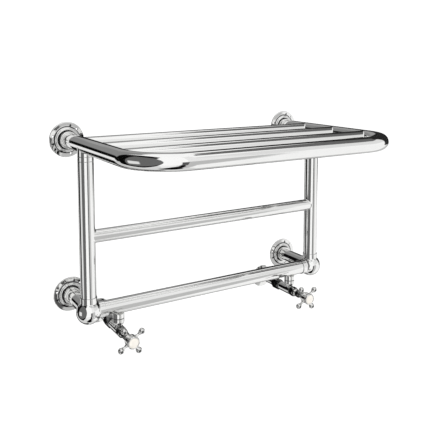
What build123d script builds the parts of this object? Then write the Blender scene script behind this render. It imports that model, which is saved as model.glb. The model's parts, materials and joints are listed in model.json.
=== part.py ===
from build123d import *
import math
import os

# Wall-hung towel rail with a shelf of tubes and two crosshead angle valves, millimetres.
# X runs along the bars, -Y comes out from the wall, +Z is up. The origin lies on the wall,
# midway between the posts, level with the axis of the lower bar.

# Overall layout
POST_SPACING = 686.0
POST_STANDOFF = 140.0
SHELF_RISE = 406.0
SHELF_REACH = 474.0
SHELF_CORNER_R = 105.0
REAR_BAR_REACH = 114.0
MIDDLE_BAR_RISE = 185.0
VALVE_INSET = 76.0
VALVE_DROP = 61.0

# Tubes
TUBE_D = 38.0
SHELF_BAR_D = 35.0
MIDDLE_BAR_D = 32.0
LOWER_ARM_D = 35.0
TUBE_WALL = 1.5
SHELF_BAR_NAMES = ("rear", "middle", "front")

# Fits between pieces
SLIDE_FIT = 0.1
THREAD_FIT = 0.05
RUNNING_FIT = 0.05
FACE_GAP = 0.3
BRAZE_GAP = 0.05

# Wall flanges
FLANGE_RIM_WIDTH = 8.0
FLANGE_EDGE = 3.2
FLANGE_EDGE_ROUND = 1.2
FLANGE_SLOPE = 0.8
FLANGE_COVE_R = 2.0
FLANGE_BEAD_LAND = 1.0
FLANGE_STEP_WIDTH = 7.0
FLANGE_STEP_RISE = 6.5
FLANGE_BEAD_INSET = 3.0
FLANGE_BEAD_SECTION = 5.2
FLANGE_RECESS_WIDTH = 1.8
FLANGE_FLOOR = 5.0
SPIGOT_LENGTH = 23.0
SCREW_CIRCLE_INSET = 3.0
SCREW_HOLE_D = 5.5
SCREW_HOLE_COUNT = 3
SCREW_HOLE_START = 45.0
BOSS_WALL = 3.1
BOSS_LENGTH = 16.0
BOSS_ROUND = 1.5
SPIGOT_ROUND = 1.0
GRUB_D = 4.0
GRUB_LENGTH = 5.2
GRUB_BITE = 1.04
GRUB_REACH = 14.0
END_PLUG_REACH = 32.0
END_PLUG_LENGTH = 6.0

# Unions at the top of the posts
UNION_RING_LENGTH = 12.0
UNION_STUB_LENGTH = 18.0
UNION_CHAMFER = 0.8
NIPPLE_WALL = 2.5
NIPPLE_OVERLAP = 12.0
NIPPLE_TOP_OVERLAP = 4.0

# Corner balls under the posts
BALL_D = 61.0
SOCKET_WALL = 1.5
SOCKET_DEPTH = 17.0
SEAT_CLEARANCE = 1.0
GASKET_LENGTH = 1.2
WATERWAY_D = 29.0
SOCKET_EDGE = 0.5
PORT_SHARE = 0.8

# Valve bodies, measured along the spindle from the wall
VALVE_BODY_D = 25.6
VALVE_BODY_BACK = 98.5
VALVE_SEAT = 131.0
VALVE_FRONT = 155.0
CHAMBER_D = 20.2
SEAT_BORE_D = 12.4
INLET_SPIGOT_D = 21.0
INLET_SPIGOT_BACK = 84.0
INLET_SOCKET_END = 102.0
NECK_D = 20.0
NECK_BORE_D = 14.0
NECK_TOP_GAP = 3.0
TAIL_D = 29.0
TAIL_SOCKET_LENGTH = 12.0
TAIL_TAPER_LENGTH = 6.2
TAIL_FOOT_D = 23.0
TAIL_EDGE_ROUND = 0.6
TAIL_SHOULDER_ROUND = 1.5

# Supply pipes, their nuts and wall roses
PIPE_D = 15.0
PIPE_WALL = 0.9
PIPE_END = 100.0
OLIVE_D = 17.6
OLIVE_BACK = 79.0
OLIVE_LENGTH = 5.0
OLIVE_LIP = 0.6
OLIVE_CROWN = 1.0
INLET_NUT_FLATS = 27.0
INLET_NUT_BACK = 70.0
INLET_NUT_LENGTH = 28.0
INLET_NUT_SHOULDER = 78.8
ROSE_D = 66.0
ROSE_EDGE = 2.0
ROSE_EDGE_ROUND = 0.8
ROSE_BELL_D = 29.0
ROSE_BELL_REACH = 10.0
ROSE_BELL_ROUND = 6.0
ROSE_NECK_REACH = 17.0
ROSE_NECK_ROUND = 4.0
ROSE_SLEEVE_D = 21.0
ROSE_BORE_GAP = 0.2

# Headwork: bonnet, gland, spindle, jumper
BONNET_FLATS = 24.0
BONNET_HEX_END = 169.0
BONNET_CONE_END = 178.0
BONNET_CONE_D = 21.0
BONNET_CONE_START = 171.0
BONNET_CONE_TOP_D = 17.2
BONNET_CONE_ROUND = 2.0
BONNET_NOSE_D = 15.2
BONNET_NOSE_END = 186.0
BONNET_SHANK_END = 142.5
GUIDE_FLATS = 13.0
GUIDE_END = 160.0
SPINDLE_D = 9.0
SPINDLE_COLLAR_D = 12.4
SPINDLE_COLLAR_LENGTH = 3.0
SPINDLE_TAIL_D = 8.0
SPINDLE_TAIL_END = 145.0
PACKING_D = 12.7
PACKING_BACK = 177.0
PACKING_LENGTH = 6.0
GLAND_NUT_FLATS = 18.0
GLAND_NUT_BACK = 179.0
GLAND_NUT_END = 192.0
WASHER_D = 17.0
WASHER_THICKNESS = 3.0
JUMPER_HEAD_D = 18.0
JUMPER_HEAD_THICKNESS = 3.0
JUMPER_END = 150.0
JUMPER_BORE_FLOOR = 139.5
JUMPER_FIT = 0.1

# Crosshead handles
HUB_BACK = 198.0
HUB_NECK_D = 14.0
HUB_NECK_END = 202.0
HUB_NECK_TOP_D = 15.0
HUB_EDGE_ROUND = 0.6
HUB_FLARE_ROUND = 3.0
HUB_D = 29.6
HUB_FLARE_END = 211.0
HUB_FRONT = 230.0
HUB_FLOOR = 216.0
HUB_RECESS_D = 20.2
SQUARE_SIDE = 6.4
SQUARE_START = 204.0
SQUARE_END = 215.0
ARM_REACH = 33.0
ARM_BALL_D = 15.0
ARM_ROOT_D = 8.4
ARM_ROOT_REACH = 11.1
ARM_WAIST_D = 6.4
ARM_WAIST_ROUND = 8.0
ARM_NECK_D = 8.4
ARM_NECK_REACH = 27.0
ARM_WAIST_REACH = 21.0
ARM_PLANE = 220.0
ARM_COUNT = 4
ARM_START = 35.0
BEZEL_D = 31.0
BEZEL_FRONT = 236.0
BEZEL_SHANK_BACK = 223.0
BEZEL_FLOOR = 232.0
BEZEL_BORE_D = 12.0
BEZEL_EDGE_ROUND = 0.5
BEZEL_RIM_ROUND = 2.0
BEZEL_LIP = 0.8
BEZEL_LIP_ROUND = 0.6
BEZEL_LIP_DROP = 0.9
BUTTON_D = 24.0
BUTTON_EDGE = 235.2
BUTTON_CROWN = 2.4
HANDLE_SCREW_D = 4.0
HANDLE_SCREW_HOLE_END = 206.0
HANDLE_SCREW_TIP = 207.0
HANDLE_SCREW_HEAD_D = 8.0
HANDLE_SCREW_HEAD = 2.6
HANDLE_SCREW_SLOT = 1.0

# Air vent under the right shelf arm
VENT_REACH = 62.0
VENT_FLATS = 12.0
VENT_DROP = 7.0
VENT_BORE_D = 5.0
VENT_SEAT_D = 1.5
VENT_SHANK_D = 8.0
VENT_SADDLE_D = 11.0
VENT_SADDLE_RISE = 1.0
VENT_PIN_D = 4.9
VENT_PIN_DROP = 4.0
VENT_PIN_SEAT = 1.0
VENT_SQUARE = 3.2

# Places worked out from the layout
POST_X = POST_SPACING / 2
VALVE_X = POST_X - VALVE_INSET
TUBE_R = TUBE_D / 2
TUBE_BORE_R = TUBE_R - TUBE_WALL
COPE_D = TUBE_D + 2 * BRAZE_GAP
BOSS_D = TUBE_D + 2 * (SLIDE_FIT + BOSS_WALL)
FLANGE_RECESS_D = BOSS_D + 2 * FLANGE_RECESS_WIDTH
FLANGE_BEAD_D = FLANGE_RECESS_D + 2 * FLANGE_BEAD_INSET
FLANGE_STEP_D = FLANGE_BEAD_D + 2 * FLANGE_STEP_WIDTH
SCREW_CIRCLE_D = FLANGE_STEP_D + 2 * SCREW_CIRCLE_INSET
FLANGE_D = SCREW_CIRCLE_D + 2 * FLANGE_RIM_WIDTH
NECK_TOP_DROP = TUBE_R + NECK_TOP_GAP
TAIL_SPLIT_DROP = TUBE_R + TAIL_SOCKET_LENGTH
TAIL_FOOT_DROP = VALVE_DROP - VALVE_BODY_D / 2
TAIL_TAPER_DROP = TAIL_FOOT_DROP - TAIL_TAPER_LENGTH
ARM_R = LOWER_ARM_D / 2
ARM_BORE_R = ARM_R - TUBE_WALL
POST_TOP = SHELF_RISE - TUBE_R - UNION_STUB_LENGTH
RING_TOP = POST_TOP + UNION_RING_LENGTH
SOCKET_SEAT = TUBE_R + SEAT_CLEARANCE
SOCKET_REACH = SOCKET_SEAT + SOCKET_DEPTH
TUBE_SEAT = SOCKET_SEAT + GASKET_LENGTH
WASHER_BACK = VALVE_SEAT + FACE_GAP
SIDES = {"left": -1, "right": 1}


def lathe(points):
    """Turn an outline of (radius, height) or (radius, height, rounding) about local Z."""
    face = make_face(Polyline(*[point[:2] for point in points], close=True))
    for point in points:
        if len(point) == 3:
            spot = Vector(*point[:2])
            corner = min(face.vertices(), key=lambda v: (Vector(*v) - spot).length)
            face = fillet(corner, point[2])
    return revolve(Plane.XZ * face, Axis.Z)


def ring(outer_d, inner_d, start, end):
    """A plain ring or sleeve along local Z."""
    height = end - start
    at = Pos(0, 0, (start + end) / 2)
    return at * (Cylinder(outer_d / 2, height) - Cylinder(inner_d / 2, height))


def rod(diameter, start, end):
    """A plain rod along local Z."""
    return Pos(0, 0, (start + end) / 2) * Cylinder(diameter / 2, end - start)


def hexagon_bar(flats, start, end):
    """A hexagonal bar along local Z, by the distance across its flats."""
    sketch = Pos(0, 0, start) * RegularPolygon(flats / 2, 6, major_radius=False)
    return extrude(sketch, end - start)


def chamfered_hexagon(flats, start, end):
    """A hexagonal bar with its end corners turned off at about 30 degrees."""
    corner = flats / math.sqrt(3)
    drop = (corner - flats / 2) * math.tan(math.radians(30))
    turned = lathe([
        (0, start), (flats / 2, start), (corner, start + drop),
        (corner, end - drop), (flats / 2, end), (0, end),
    ])
    return hexagon_bar(flats, start, end) & turned


def from_wall(x, z):
    """Place a piece made along local +Z so that it comes straight out of the wall."""
    return Pos(x, 0, z) * Rot(90, 0, 0)


def along_x(y, z):
    """Place a piece made along local +Z so that it runs towards +X."""
    return Pos(0, y, z) * Rot(0, 90, 0)


def side_rod(x, reach, diameter, z0, z1):
    """A vertical rod at a place given by its x and its distance from the wall."""
    return Pos(x, -reach, 0) * rod(diameter, z0, z1)


def save(name, *solids):
    """Write one node from its separate solids."""
    pieces = [solid for part in solids for solid in part.solids()]
    shape = pieces[0] if len(pieces) == 1 else Compound(children=pieces)
    shape.label = name
    export_step(shape, f"parts/{name}.step")


# Shelf

def frame_path():
    back = -(FLANGE_FLOOR + SLIDE_FIT)
    corners = [
        (-POST_X, back, SHELF_RISE), (-POST_X, -SHELF_REACH, SHELF_RISE),
        (POST_X, -SHELF_REACH, SHELF_RISE), (POST_X, back, SHELF_RISE),
    ]
    return FilletPolyline(*corners, radius=SHELF_CORNER_R)


def frame_rod(radius):
    path = frame_path()
    return sweep(Plane(origin=path @ 0, z_dir=path % 0) * Circle(radius), path)


def shelf_bar_reach(index):
    pitch = (SHELF_REACH - REAR_BAR_REACH) / len(SHELF_BAR_NAMES)
    return REAR_BAR_REACH + pitch * index


def shelf_arm_rod(side, diameter):
    return from_wall(side * POST_X, SHELF_RISE) * rod(diameter, 0, SHELF_REACH)


def spigot_radius(tube_bore_r):
    return tube_bore_r - SLIDE_FIT


def grub_hole(x, z, inner_r):
    """The radial hole that a grub screw fills, below an arm, ending just inside inner_r."""
    return side_rod(x, GRUB_REACH, GRUB_D + THREAD_FIT, z - BOSS_D, z - inner_r + GRUB_BITE)


def shelf_frame():
    tube = frame_rod(TUBE_R) - frame_rod(TUBE_BORE_R)
    bar_port = rod((SHELF_BAR_D - 2 * TUBE_WALL) * PORT_SHARE, -POST_X, POST_X)
    for index in range(len(SHELF_BAR_NAMES)):
        tube -= along_x(-shelf_bar_reach(index), SHELF_RISE) * bar_port
    post_port = 2 * TUBE_BORE_R * PORT_SHARE
    for side in SIDES.values():
        tube -= side_rod(side * POST_X, POST_STANDOFF, post_port, RING_TOP, SHELF_RISE)
        tube -= grub_hole(side * POST_X, SHELF_RISE, spigot_radius(TUBE_BORE_R))
    tube -= side_rod(POST_X, VENT_REACH, VENT_SHANK_D, RING_TOP, SHELF_RISE)
    return tube


def shelf_bar(index):
    tube = ring(SHELF_BAR_D, SHELF_BAR_D - 2 * TUBE_WALL, -POST_X, POST_X)
    bar = along_x(-shelf_bar_reach(index), SHELF_RISE) * tube
    bar -= frame_rod(TUBE_R + BRAZE_GAP)
    for side in SIDES.values():
        bar -= side_rod(side * POST_X, POST_STANDOFF, COPE_D, RING_TOP, SHELF_RISE)
    return bar


# Posts, unions and towel bars

def arm_stub(side):
    stub = ring(TUBE_D, 2 * TUBE_BORE_R, RING_TOP, SHELF_RISE)
    stub = Pos(side * POST_X, -POST_STANDOFF, 0) * stub
    return stub - shelf_arm_rod(side, COPE_D)


def union_ring(side):
    points = [
        (TUBE_BORE_R, POST_TOP), (TUBE_R - UNION_CHAMFER, POST_TOP),
        (TUBE_R, POST_TOP + UNION_CHAMFER), (TUBE_R, RING_TOP - UNION_CHAMFER),
        (TUBE_R - UNION_CHAMFER, RING_TOP), (TUBE_BORE_R, RING_TOP),
    ]
    return Pos(side * POST_X, -POST_STANDOFF, 0) * lathe(points)


def post_nipple(side):
    outer_d = 2 * (TUBE_BORE_R - THREAD_FIT)
    bore_d = outer_d - 2 * NIPPLE_WALL
    sleeve = ring(outer_d, bore_d, POST_TOP - NIPPLE_OVERLAP, RING_TOP + NIPPLE_TOP_OVERLAP)
    return Pos(side * POST_X, -POST_STANDOFF, 0) * sleeve


def post(side):
    tube = Pos(side * POST_X, -POST_STANDOFF, 0) * ring(TUBE_D, 2 * TUBE_BORE_R, TUBE_SEAT, POST_TOP)
    port_d = (MIDDLE_BAR_D - 2 * TUBE_WALL) * PORT_SHARE
    port = along_x(-POST_STANDOFF, MIDDLE_BAR_RISE) * rod(port_d, -POST_X, POST_X)
    return tube - port


def middle_bar():
    tube = ring(MIDDLE_BAR_D, MIDDLE_BAR_D - 2 * TUBE_WALL, -POST_X, POST_X)
    bar = along_x(-POST_STANDOFF, MIDDLE_BAR_RISE) * tube
    for side in SIDES.values():
        bar -= side_rod(side * POST_X, POST_STANDOFF, COPE_D, 0, SHELF_RISE)
    return bar


def lower_bar():
    half = POST_X - TUBE_SEAT
    bar = along_x(-POST_STANDOFF, 0) * ring(TUBE_D, 2 * TUBE_BORE_R, -half, half)
    for side in SIDES.values():
        bar -= side_rod(side * VALVE_X, POST_STANDOFF, NECK_BORE_D, -TUBE_D, 0)
    return bar


# Corner balls and lower wall arms

def ball_socket(tube_d):
    """One socket of a corner ball, made along local +Z."""
    outer_r = tube_d / 2 + SOCKET_WALL
    return lathe([(0, 0), (outer_r, 0), (outer_r, SOCKET_REACH, SOCKET_EDGE), (0, SOCKET_REACH)])


def socket_bore(tube_d):
    seat = rod(tube_d + 2 * SLIDE_FIT, SOCKET_SEAT, SOCKET_REACH)
    return seat + rod(min(WATERWAY_D, tube_d - 2 * TUBE_WALL), 0, SOCKET_SEAT)


def ball_directions(side):
    """Where a ball's sockets point, with the tube that each one takes."""
    return (
        (Rot(0, 0, 0), TUBE_D),
        (Rot(0, -side * 90, 0), TUBE_D),
        (Rot(-90, 0, 0), LOWER_ARM_D),
    )


def corner_ball(side):
    ball = Sphere(BALL_D / 2)
    for turn, tube_d in ball_directions(side):
        ball += turn * ball_socket(tube_d)
    ball -= Sphere(WATERWAY_D / 2)
    for turn, tube_d in ball_directions(side):
        ball -= turn * socket_bore(tube_d)
    return Pos(side * POST_X, -POST_STANDOFF, 0) * ball


def corner_gaskets(side):
    at = Pos(side * POST_X, -POST_STANDOFF, 0)
    return [
        at * turn * ring(tube_d, tube_d - 2 * TUBE_WALL, SOCKET_SEAT, TUBE_SEAT)
        for turn, tube_d in ball_directions(side)
    ]


def lower_arm(side):
    start = FLANGE_FLOOR + SLIDE_FIT
    tube = ring(LOWER_ARM_D, 2 * ARM_BORE_R, start, POST_STANDOFF - TUBE_SEAT)
    arm = from_wall(side * POST_X, 0) * tube
    return arm - grub_hole(side * POST_X, 0, spigot_radius(ARM_BORE_R))


# Wall flanges with their bosses

def wall_flange(x, z, tube_bore_r):
    spigot = spigot_radius(tube_bore_r)
    step_r = FLANGE_STEP_D / 2
    bead_r = FLANGE_BEAD_D / 2
    flat_r = bead_r + FLANGE_BEAD_SECTION / 2 + FLANGE_BEAD_LAND
    flange = lathe([
        (0, 0), (FLANGE_D / 2, 0), (FLANGE_D / 2, FLANGE_EDGE, FLANGE_EDGE_ROUND),
        (step_r, FLANGE_EDGE + FLANGE_SLOPE, FLANGE_COVE_R),
        (flat_r, FLANGE_STEP_RISE), (FLANGE_RECESS_D / 2, FLANGE_STEP_RISE),
        (FLANGE_RECESS_D / 2, FLANGE_FLOOR), (spigot, FLANGE_FLOOR),
        (spigot, FLANGE_FLOOR + SPIGOT_LENGTH, SPIGOT_ROUND), (0, FLANGE_FLOOR + SPIGOT_LENGTH),
    ])
    flange += Pos(0, 0, FLANGE_STEP_RISE) * Torus(bead_r, FLANGE_BEAD_SECTION / 2)
    holes = PolarLocations(SCREW_CIRCLE_D / 2, SCREW_HOLE_COUNT, SCREW_HOLE_START)
    for place in holes:
        flange -= place * rod(SCREW_HOLE_D, -FLANGE_EDGE, 2 * FLANGE_STEP_RISE)
    return from_wall(x, z) * flange - grub_hole(x, z, spigot)


def flange_boss(x, z, tube_r):
    inner_r = tube_r + SLIDE_FIT
    front = FLANGE_FLOOR + BOSS_LENGTH
    boss = lathe([
        (inner_r, FLANGE_FLOOR), (BOSS_D / 2, FLANGE_FLOOR),
        (BOSS_D / 2, front, BOSS_ROUND), (inner_r, front),
    ])
    return from_wall(x, z) * boss - grub_hole(x, z, inner_r)


def grub_screw(x, z, tube_bore_r):
    tip = z - spigot_radius(tube_bore_r) + GRUB_BITE
    return side_rod(x, GRUB_REACH, GRUB_D, tip - GRUB_LENGTH, tip)


def end_plug(x, z, tube_bore_r):
    plug = rod(2 * (tube_bore_r - THREAD_FIT), END_PLUG_REACH, END_PLUG_REACH + END_PLUG_LENGTH)
    return from_wall(x, z) * plug


# Valves

def at_valve(side):
    return from_wall(side * VALVE_X, -VALVE_DROP)


def under_bar(side):
    """Place a piece made along local +Z, its height being the drop below the lower bar's axis."""
    return Pos(side * VALVE_X, -POST_STANDOFF, 0) * Rot(180, 0, 0)


def bar_socket(side):
    socket = under_bar(side) * ring(TAIL_D, NECK_D + 2 * THREAD_FIT, 0, TAIL_SPLIT_DROP)
    return socket - along_x(-POST_STANDOFF, 0) * rod(COPE_D, -POST_X, POST_X)


def tail_collar(side):
    bore_r = NECK_D / 2 + THREAD_FIT
    collar = lathe([
        (bore_r, TAIL_SPLIT_DROP), (TAIL_D / 2, TAIL_SPLIT_DROP, TAIL_EDGE_ROUND),
        (TAIL_D / 2, TAIL_TAPER_DROP, TAIL_SHOULDER_ROUND), (TAIL_FOOT_D / 2, TAIL_FOOT_DROP),
        (bore_r, TAIL_FOOT_DROP),
    ])
    return under_bar(side) * collar


def valve_body(side):
    run = rod(VALVE_BODY_D, VALVE_BODY_BACK, VALVE_FRONT)
    run += rod(INLET_SPIGOT_D, INLET_SPIGOT_BACK, VALVE_BODY_BACK)
    body = at_valve(side) * run + under_bar(side) * rod(NECK_D, NECK_TOP_DROP, VALVE_DROP)
    ways = rod(PIPE_D + 2 * SLIDE_FIT, INLET_SPIGOT_BACK, INLET_SOCKET_END)
    ways += rod(SEAT_BORE_D, INLET_SOCKET_END, VALVE_SEAT)
    ways += rod(CHAMBER_D, VALVE_SEAT, VALVE_FRONT)
    body -= at_valve(side) * ways
    return body - under_bar(side) * rod(NECK_BORE_D, NECK_TOP_DROP, VALVE_DROP)


def supply_pipe(side):
    return at_valve(side) * ring(PIPE_D, PIPE_D - 2 * PIPE_WALL, 0, PIPE_END)


def olive(side):
    bore_r = PIPE_D / 2
    lip_r = bore_r + OLIVE_LIP
    front = OLIVE_BACK + OLIVE_LENGTH
    crown_start = OLIVE_BACK + (OLIVE_LENGTH - OLIVE_CROWN) / 2
    shape = lathe([
        (bore_r, OLIVE_BACK), (lip_r, OLIVE_BACK), (OLIVE_D / 2, crown_start),
        (OLIVE_D / 2, crown_start + OLIVE_CROWN), (lip_r, front), (bore_r, front),
    ])
    return at_valve(side) * shape


def inlet_nut(side):
    end = INLET_NUT_BACK + INLET_NUT_LENGTH
    nut = chamfered_hexagon(INLET_NUT_FLATS, INLET_NUT_BACK, end)
    nut -= rod(PIPE_D + 2 * SLIDE_FIT, INLET_NUT_BACK, INLET_NUT_SHOULDER)
    nut -= rod(INLET_SPIGOT_D + 2 * THREAD_FIT, INLET_NUT_SHOULDER, end)
    return at_valve(side) * nut


def wall_rose(side):
    bore_r = PIPE_D / 2 + ROSE_BORE_GAP
    sleeve_r = ROSE_SLEEVE_D / 2
    sleeve_end = INLET_NUT_BACK - FACE_GAP
    rose = lathe([
        (bore_r, 0), (ROSE_D / 2, 0), (ROSE_D / 2, ROSE_EDGE, ROSE_EDGE_ROUND),
        (ROSE_BELL_D / 2, ROSE_BELL_REACH, ROSE_BELL_ROUND), (sleeve_r, ROSE_NECK_REACH, ROSE_NECK_ROUND),
        (sleeve_r, sleeve_end), (bore_r, sleeve_end),
    ])
    return at_valve(side) * rose


def bonnet(side):
    shank_d = CHAMBER_D - 2 * THREAD_FIT
    shape = chamfered_hexagon(BONNET_FLATS, VALVE_FRONT, BONNET_HEX_END)
    shape += rod(shank_d, BONNET_SHANK_END, VALVE_FRONT)
    shape += lathe([
        (0, VALVE_FRONT), (BONNET_CONE_D / 2, VALVE_FRONT),
        (BONNET_CONE_D / 2, BONNET_CONE_START, BONNET_CONE_ROUND),
        (BONNET_CONE_TOP_D / 2, BONNET_CONE_END), (BONNET_NOSE_D / 2, BONNET_CONE_END),
        (BONNET_NOSE_D / 2, BONNET_NOSE_END), (0, BONNET_NOSE_END),
    ])
    shape -= hexagon_bar(GUIDE_FLATS + 2 * JUMPER_FIT, BONNET_SHANK_END, GUIDE_END)
    shape -= rod(SPINDLE_D + 2 * RUNNING_FIT, GUIDE_END, PACKING_BACK)
    shape -= rod(PACKING_D + 2 * THREAD_FIT, PACKING_BACK, BONNET_NOSE_END)
    return at_valve(side) * shape


def gland_packing(side):
    bore_d = SPINDLE_D + 2 * RUNNING_FIT
    return at_valve(side) * ring(PACKING_D, bore_d, PACKING_BACK, PACKING_BACK + PACKING_LENGTH)


def gland_nut(side):
    """A cap nut with an inner sleeve that presses on the packing."""
    nut = chamfered_hexagon(GLAND_NUT_FLATS, GLAND_NUT_BACK, GLAND_NUT_END)
    nut -= rod(BONNET_NOSE_D + 2 * THREAD_FIT, GLAND_NUT_BACK, BONNET_NOSE_END + SLIDE_FIT)
    nut += rod(PACKING_D - 2 * THREAD_FIT, PACKING_BACK + PACKING_LENGTH, BONNET_NOSE_END + SLIDE_FIT)
    nut -= rod(SPINDLE_D + 2 * RUNNING_FIT, PACKING_BACK, GLAND_NUT_END)
    return at_valve(side) * nut


def square_bar(side_length, start, end):
    return Pos(0, 0, (start + end) / 2) * Box(side_length, side_length, end - start)


def spindle(side):
    collar_end = GUIDE_END - FACE_GAP
    shape = rod(SPINDLE_TAIL_D, SPINDLE_TAIL_END, collar_end)
    shape += rod(SPINDLE_COLLAR_D, collar_end - SPINDLE_COLLAR_LENGTH, collar_end)
    shape += rod(SPINDLE_D, collar_end, SQUARE_START)
    shape += square_bar(SQUARE_SIDE, SQUARE_START, SQUARE_END)
    shape -= rod(HANDLE_SCREW_D + 2 * THREAD_FIT, HANDLE_SCREW_HOLE_END, SQUARE_END)
    return at_valve(side) * shape


def jumper(side):
    head_back = WASHER_BACK + WASHER_THICKNESS
    shape = rod(JUMPER_HEAD_D, head_back, head_back + JUMPER_HEAD_THICKNESS)
    shape += hexagon_bar(GUIDE_FLATS, head_back, JUMPER_END)
    shape -= rod(SPINDLE_TAIL_D + 2 * RUNNING_FIT, JUMPER_BORE_FLOOR, JUMPER_END)
    return at_valve(side) * shape


def seat_washer(side):
    return at_valve(side) * rod(WASHER_D, WASHER_BACK, WASHER_BACK + WASHER_THICKNESS)


# Crosshead handles

def handle_arm():
    """One arm with its ball end, made along local +Z from the spindle's axis."""
    arm = lathe([
        (0, ARM_ROOT_REACH), (ARM_ROOT_D / 2, ARM_ROOT_REACH),
        (ARM_WAIST_D / 2, ARM_WAIST_REACH, ARM_WAIST_ROUND),
        (ARM_NECK_D / 2, ARM_NECK_REACH), (0, ARM_NECK_REACH),
    ])
    return arm + Pos(0, 0, ARM_REACH) * Sphere(ARM_BALL_D / 2)


def crosshead(side):
    hub = lathe([
        (0, HUB_BACK), (HUB_NECK_D / 2, HUB_BACK, HUB_EDGE_ROUND),
        (HUB_NECK_TOP_D / 2, HUB_NECK_END, HUB_FLARE_ROUND),
        (HUB_D / 2, HUB_FLARE_END, HUB_FLARE_ROUND), (HUB_D / 2, HUB_FRONT), (0, HUB_FRONT),
    ])
    for index in range(ARM_COUNT):
        angle = ARM_START + index * 360 / ARM_COUNT
        hub += Pos(0, 0, ARM_PLANE) * Rot(0, 0, angle) * Rot(0, 90, 0) * handle_arm()
    hub -= rod(HUB_RECESS_D, HUB_FLOOR, HUB_FRONT)
    hub -= square_bar(SQUARE_SIDE + 2 * THREAD_FIT, HUB_BACK, HUB_FLOOR)
    hub -= rod(SPINDLE_D + 2 * SLIDE_FIT, HUB_BACK, SQUARE_START + SLIDE_FIT)
    return at_valve(side) * hub


def button_bezel(side):
    bore_r = BUTTON_D / 2 + SLIDE_FIT
    shank_r = HUB_RECESS_D / 2 - THREAD_FIT
    bezel = lathe([
        (BEZEL_BORE_D / 2, BEZEL_SHANK_BACK), (shank_r, BEZEL_SHANK_BACK), (shank_r, HUB_FRONT),
        (BEZEL_D / 2, HUB_FRONT, BEZEL_EDGE_ROUND), (BEZEL_D / 2, BEZEL_FRONT, BEZEL_RIM_ROUND),
        (bore_r + BEZEL_LIP, BEZEL_FRONT, BEZEL_LIP_ROUND), (bore_r, BEZEL_FRONT - BEZEL_LIP_DROP),
        (bore_r, BEZEL_FLOOR), (BEZEL_BORE_D / 2, BEZEL_FLOOR),
    ])
    return at_valve(side) * bezel


def porcelain_button(side):
    """A low dome, its crown an arc of a sphere, that sits in the bezel."""
    radius = BUTTON_D / 2
    ball_r = (radius ** 2 + BUTTON_CROWN ** 2) / (2 * BUTTON_CROWN)
    crown = Pos(0, 0, BUTTON_EDGE + BUTTON_CROWN - ball_r) * Sphere(ball_r)
    button = rod(BUTTON_D, BEZEL_FLOOR, BUTTON_EDGE + BUTTON_CROWN) & crown
    return at_valve(side) * button


def handle_screw(side):
    head_end = HUB_FLOOR + HANDLE_SCREW_HEAD
    screw = rod(HANDLE_SCREW_D, HANDLE_SCREW_TIP, HUB_FLOOR)
    screw += rod(HANDLE_SCREW_HEAD_D, HUB_FLOOR, head_end)
    screw -= Pos(0, 0, head_end) * Box(HANDLE_SCREW_HEAD_D, HANDLE_SCREW_SLOT, HANDLE_SCREW_HEAD)
    return at_valve(side) * screw


# Air vent

def air_vent_body():
    top = SHELF_RISE - TUBE_R
    body = chamfered_hexagon(VENT_FLATS, top - VENT_DROP, top)
    body += rod(VENT_SHANK_D - 2 * THREAD_FIT, top, top + 2 * TUBE_WALL)
    body += rod(VENT_SADDLE_D, top, top + VENT_SADDLE_RISE)
    body -= rod(VENT_BORE_D, top - VENT_DROP, top + TUBE_WALL)
    body -= rod(VENT_SEAT_D, top, top + 2 * TUBE_WALL)
    hole = side_rod(POST_X, VENT_REACH, VENT_SHANK_D, top - VENT_DROP, SHELF_RISE)
    return Pos(POST_X, -VENT_REACH, 0) * body - (shelf_arm_rod(1, COPE_D) - hole)


def air_vent_pin():
    top = SHELF_RISE - TUBE_R + TUBE_WALL - FACE_GAP
    base = SHELF_RISE - TUBE_R - VENT_DROP
    seat = base + VENT_PIN_SEAT
    pin = rod(VENT_PIN_D, seat, top) + square_bar(VENT_SQUARE, base - VENT_PIN_DROP, seat)
    return Pos(POST_X, -VENT_REACH, 0) * pin


SIDE_PIECES = (
    post, corner_ball, lower_arm,
    tail_collar, valve_body, supply_pipe, inlet_nut, wall_rose,
    bonnet, gland_nut, spindle, jumper, seat_washer,
    crosshead, button_bezel, porcelain_button, handle_screw,
)


def build():
    os.makedirs("parts", exist_ok=True)
    save("shelf_frame", shelf_frame())
    for index, name in enumerate(SHELF_BAR_NAMES):
        save(f"shelf_bar_{name}", shelf_bar(index))
    save("middle_bar", middle_bar())
    save("lower_bar", lower_bar())
    save("air_vent_body", air_vent_body())
    save("air_vent_pin", air_vent_pin())

    sides = SIDES.values()
    save("arm_stubs", *[arm_stub(side) for side in sides])
    save("union_rings", *[union_ring(side) for side in sides])
    save("post_nipples", *[post_nipple(side) for side in sides])
    save("corner_gaskets", *[gasket for side in sides for gasket in corner_gaskets(side)])
    save("bar_sockets", *[bar_socket(side) for side in sides])
    save("olives", *[olive(side) for side in sides])
    save("gland_packings", *[gland_packing(side) for side in sides])

    levels = {"upper": (SHELF_RISE, TUBE_R), "lower": (0, ARM_R)}
    feet = [(side * POST_X, z, r - TUBE_WALL) for side in sides for z, r in levels.values()]
    save("boss_grub_screws", *[grub_screw(*foot) for foot in feet])
    save("arm_end_plugs", *[end_plug(*foot) for foot in feet])

    for name, side in SIDES.items():
        for level, (z, tube_r) in levels.items():
            save(f"wall_flange_{level}_{name}", wall_flange(side * POST_X, z, tube_r - TUBE_WALL))
            save(f"flange_boss_{level}_{name}", flange_boss(side * POST_X, z, tube_r))
        for piece in SIDE_PIECES:
            save(f"{piece.__name__}_{name}", piece(side))


build()
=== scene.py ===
"""Looks of a wall-hung towel rail with a tube shelf and two crosshead angle valves.

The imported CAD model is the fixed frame. Each class builds one sub-assembly as fine closed
meshes in the same frame, and the CAD pieces that stay get their real finishes.
"""

import json
import logging
import math
from collections.abc import Callable, Sequence
from dataclasses import dataclass
from enum import Enum
from typing import Any

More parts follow.
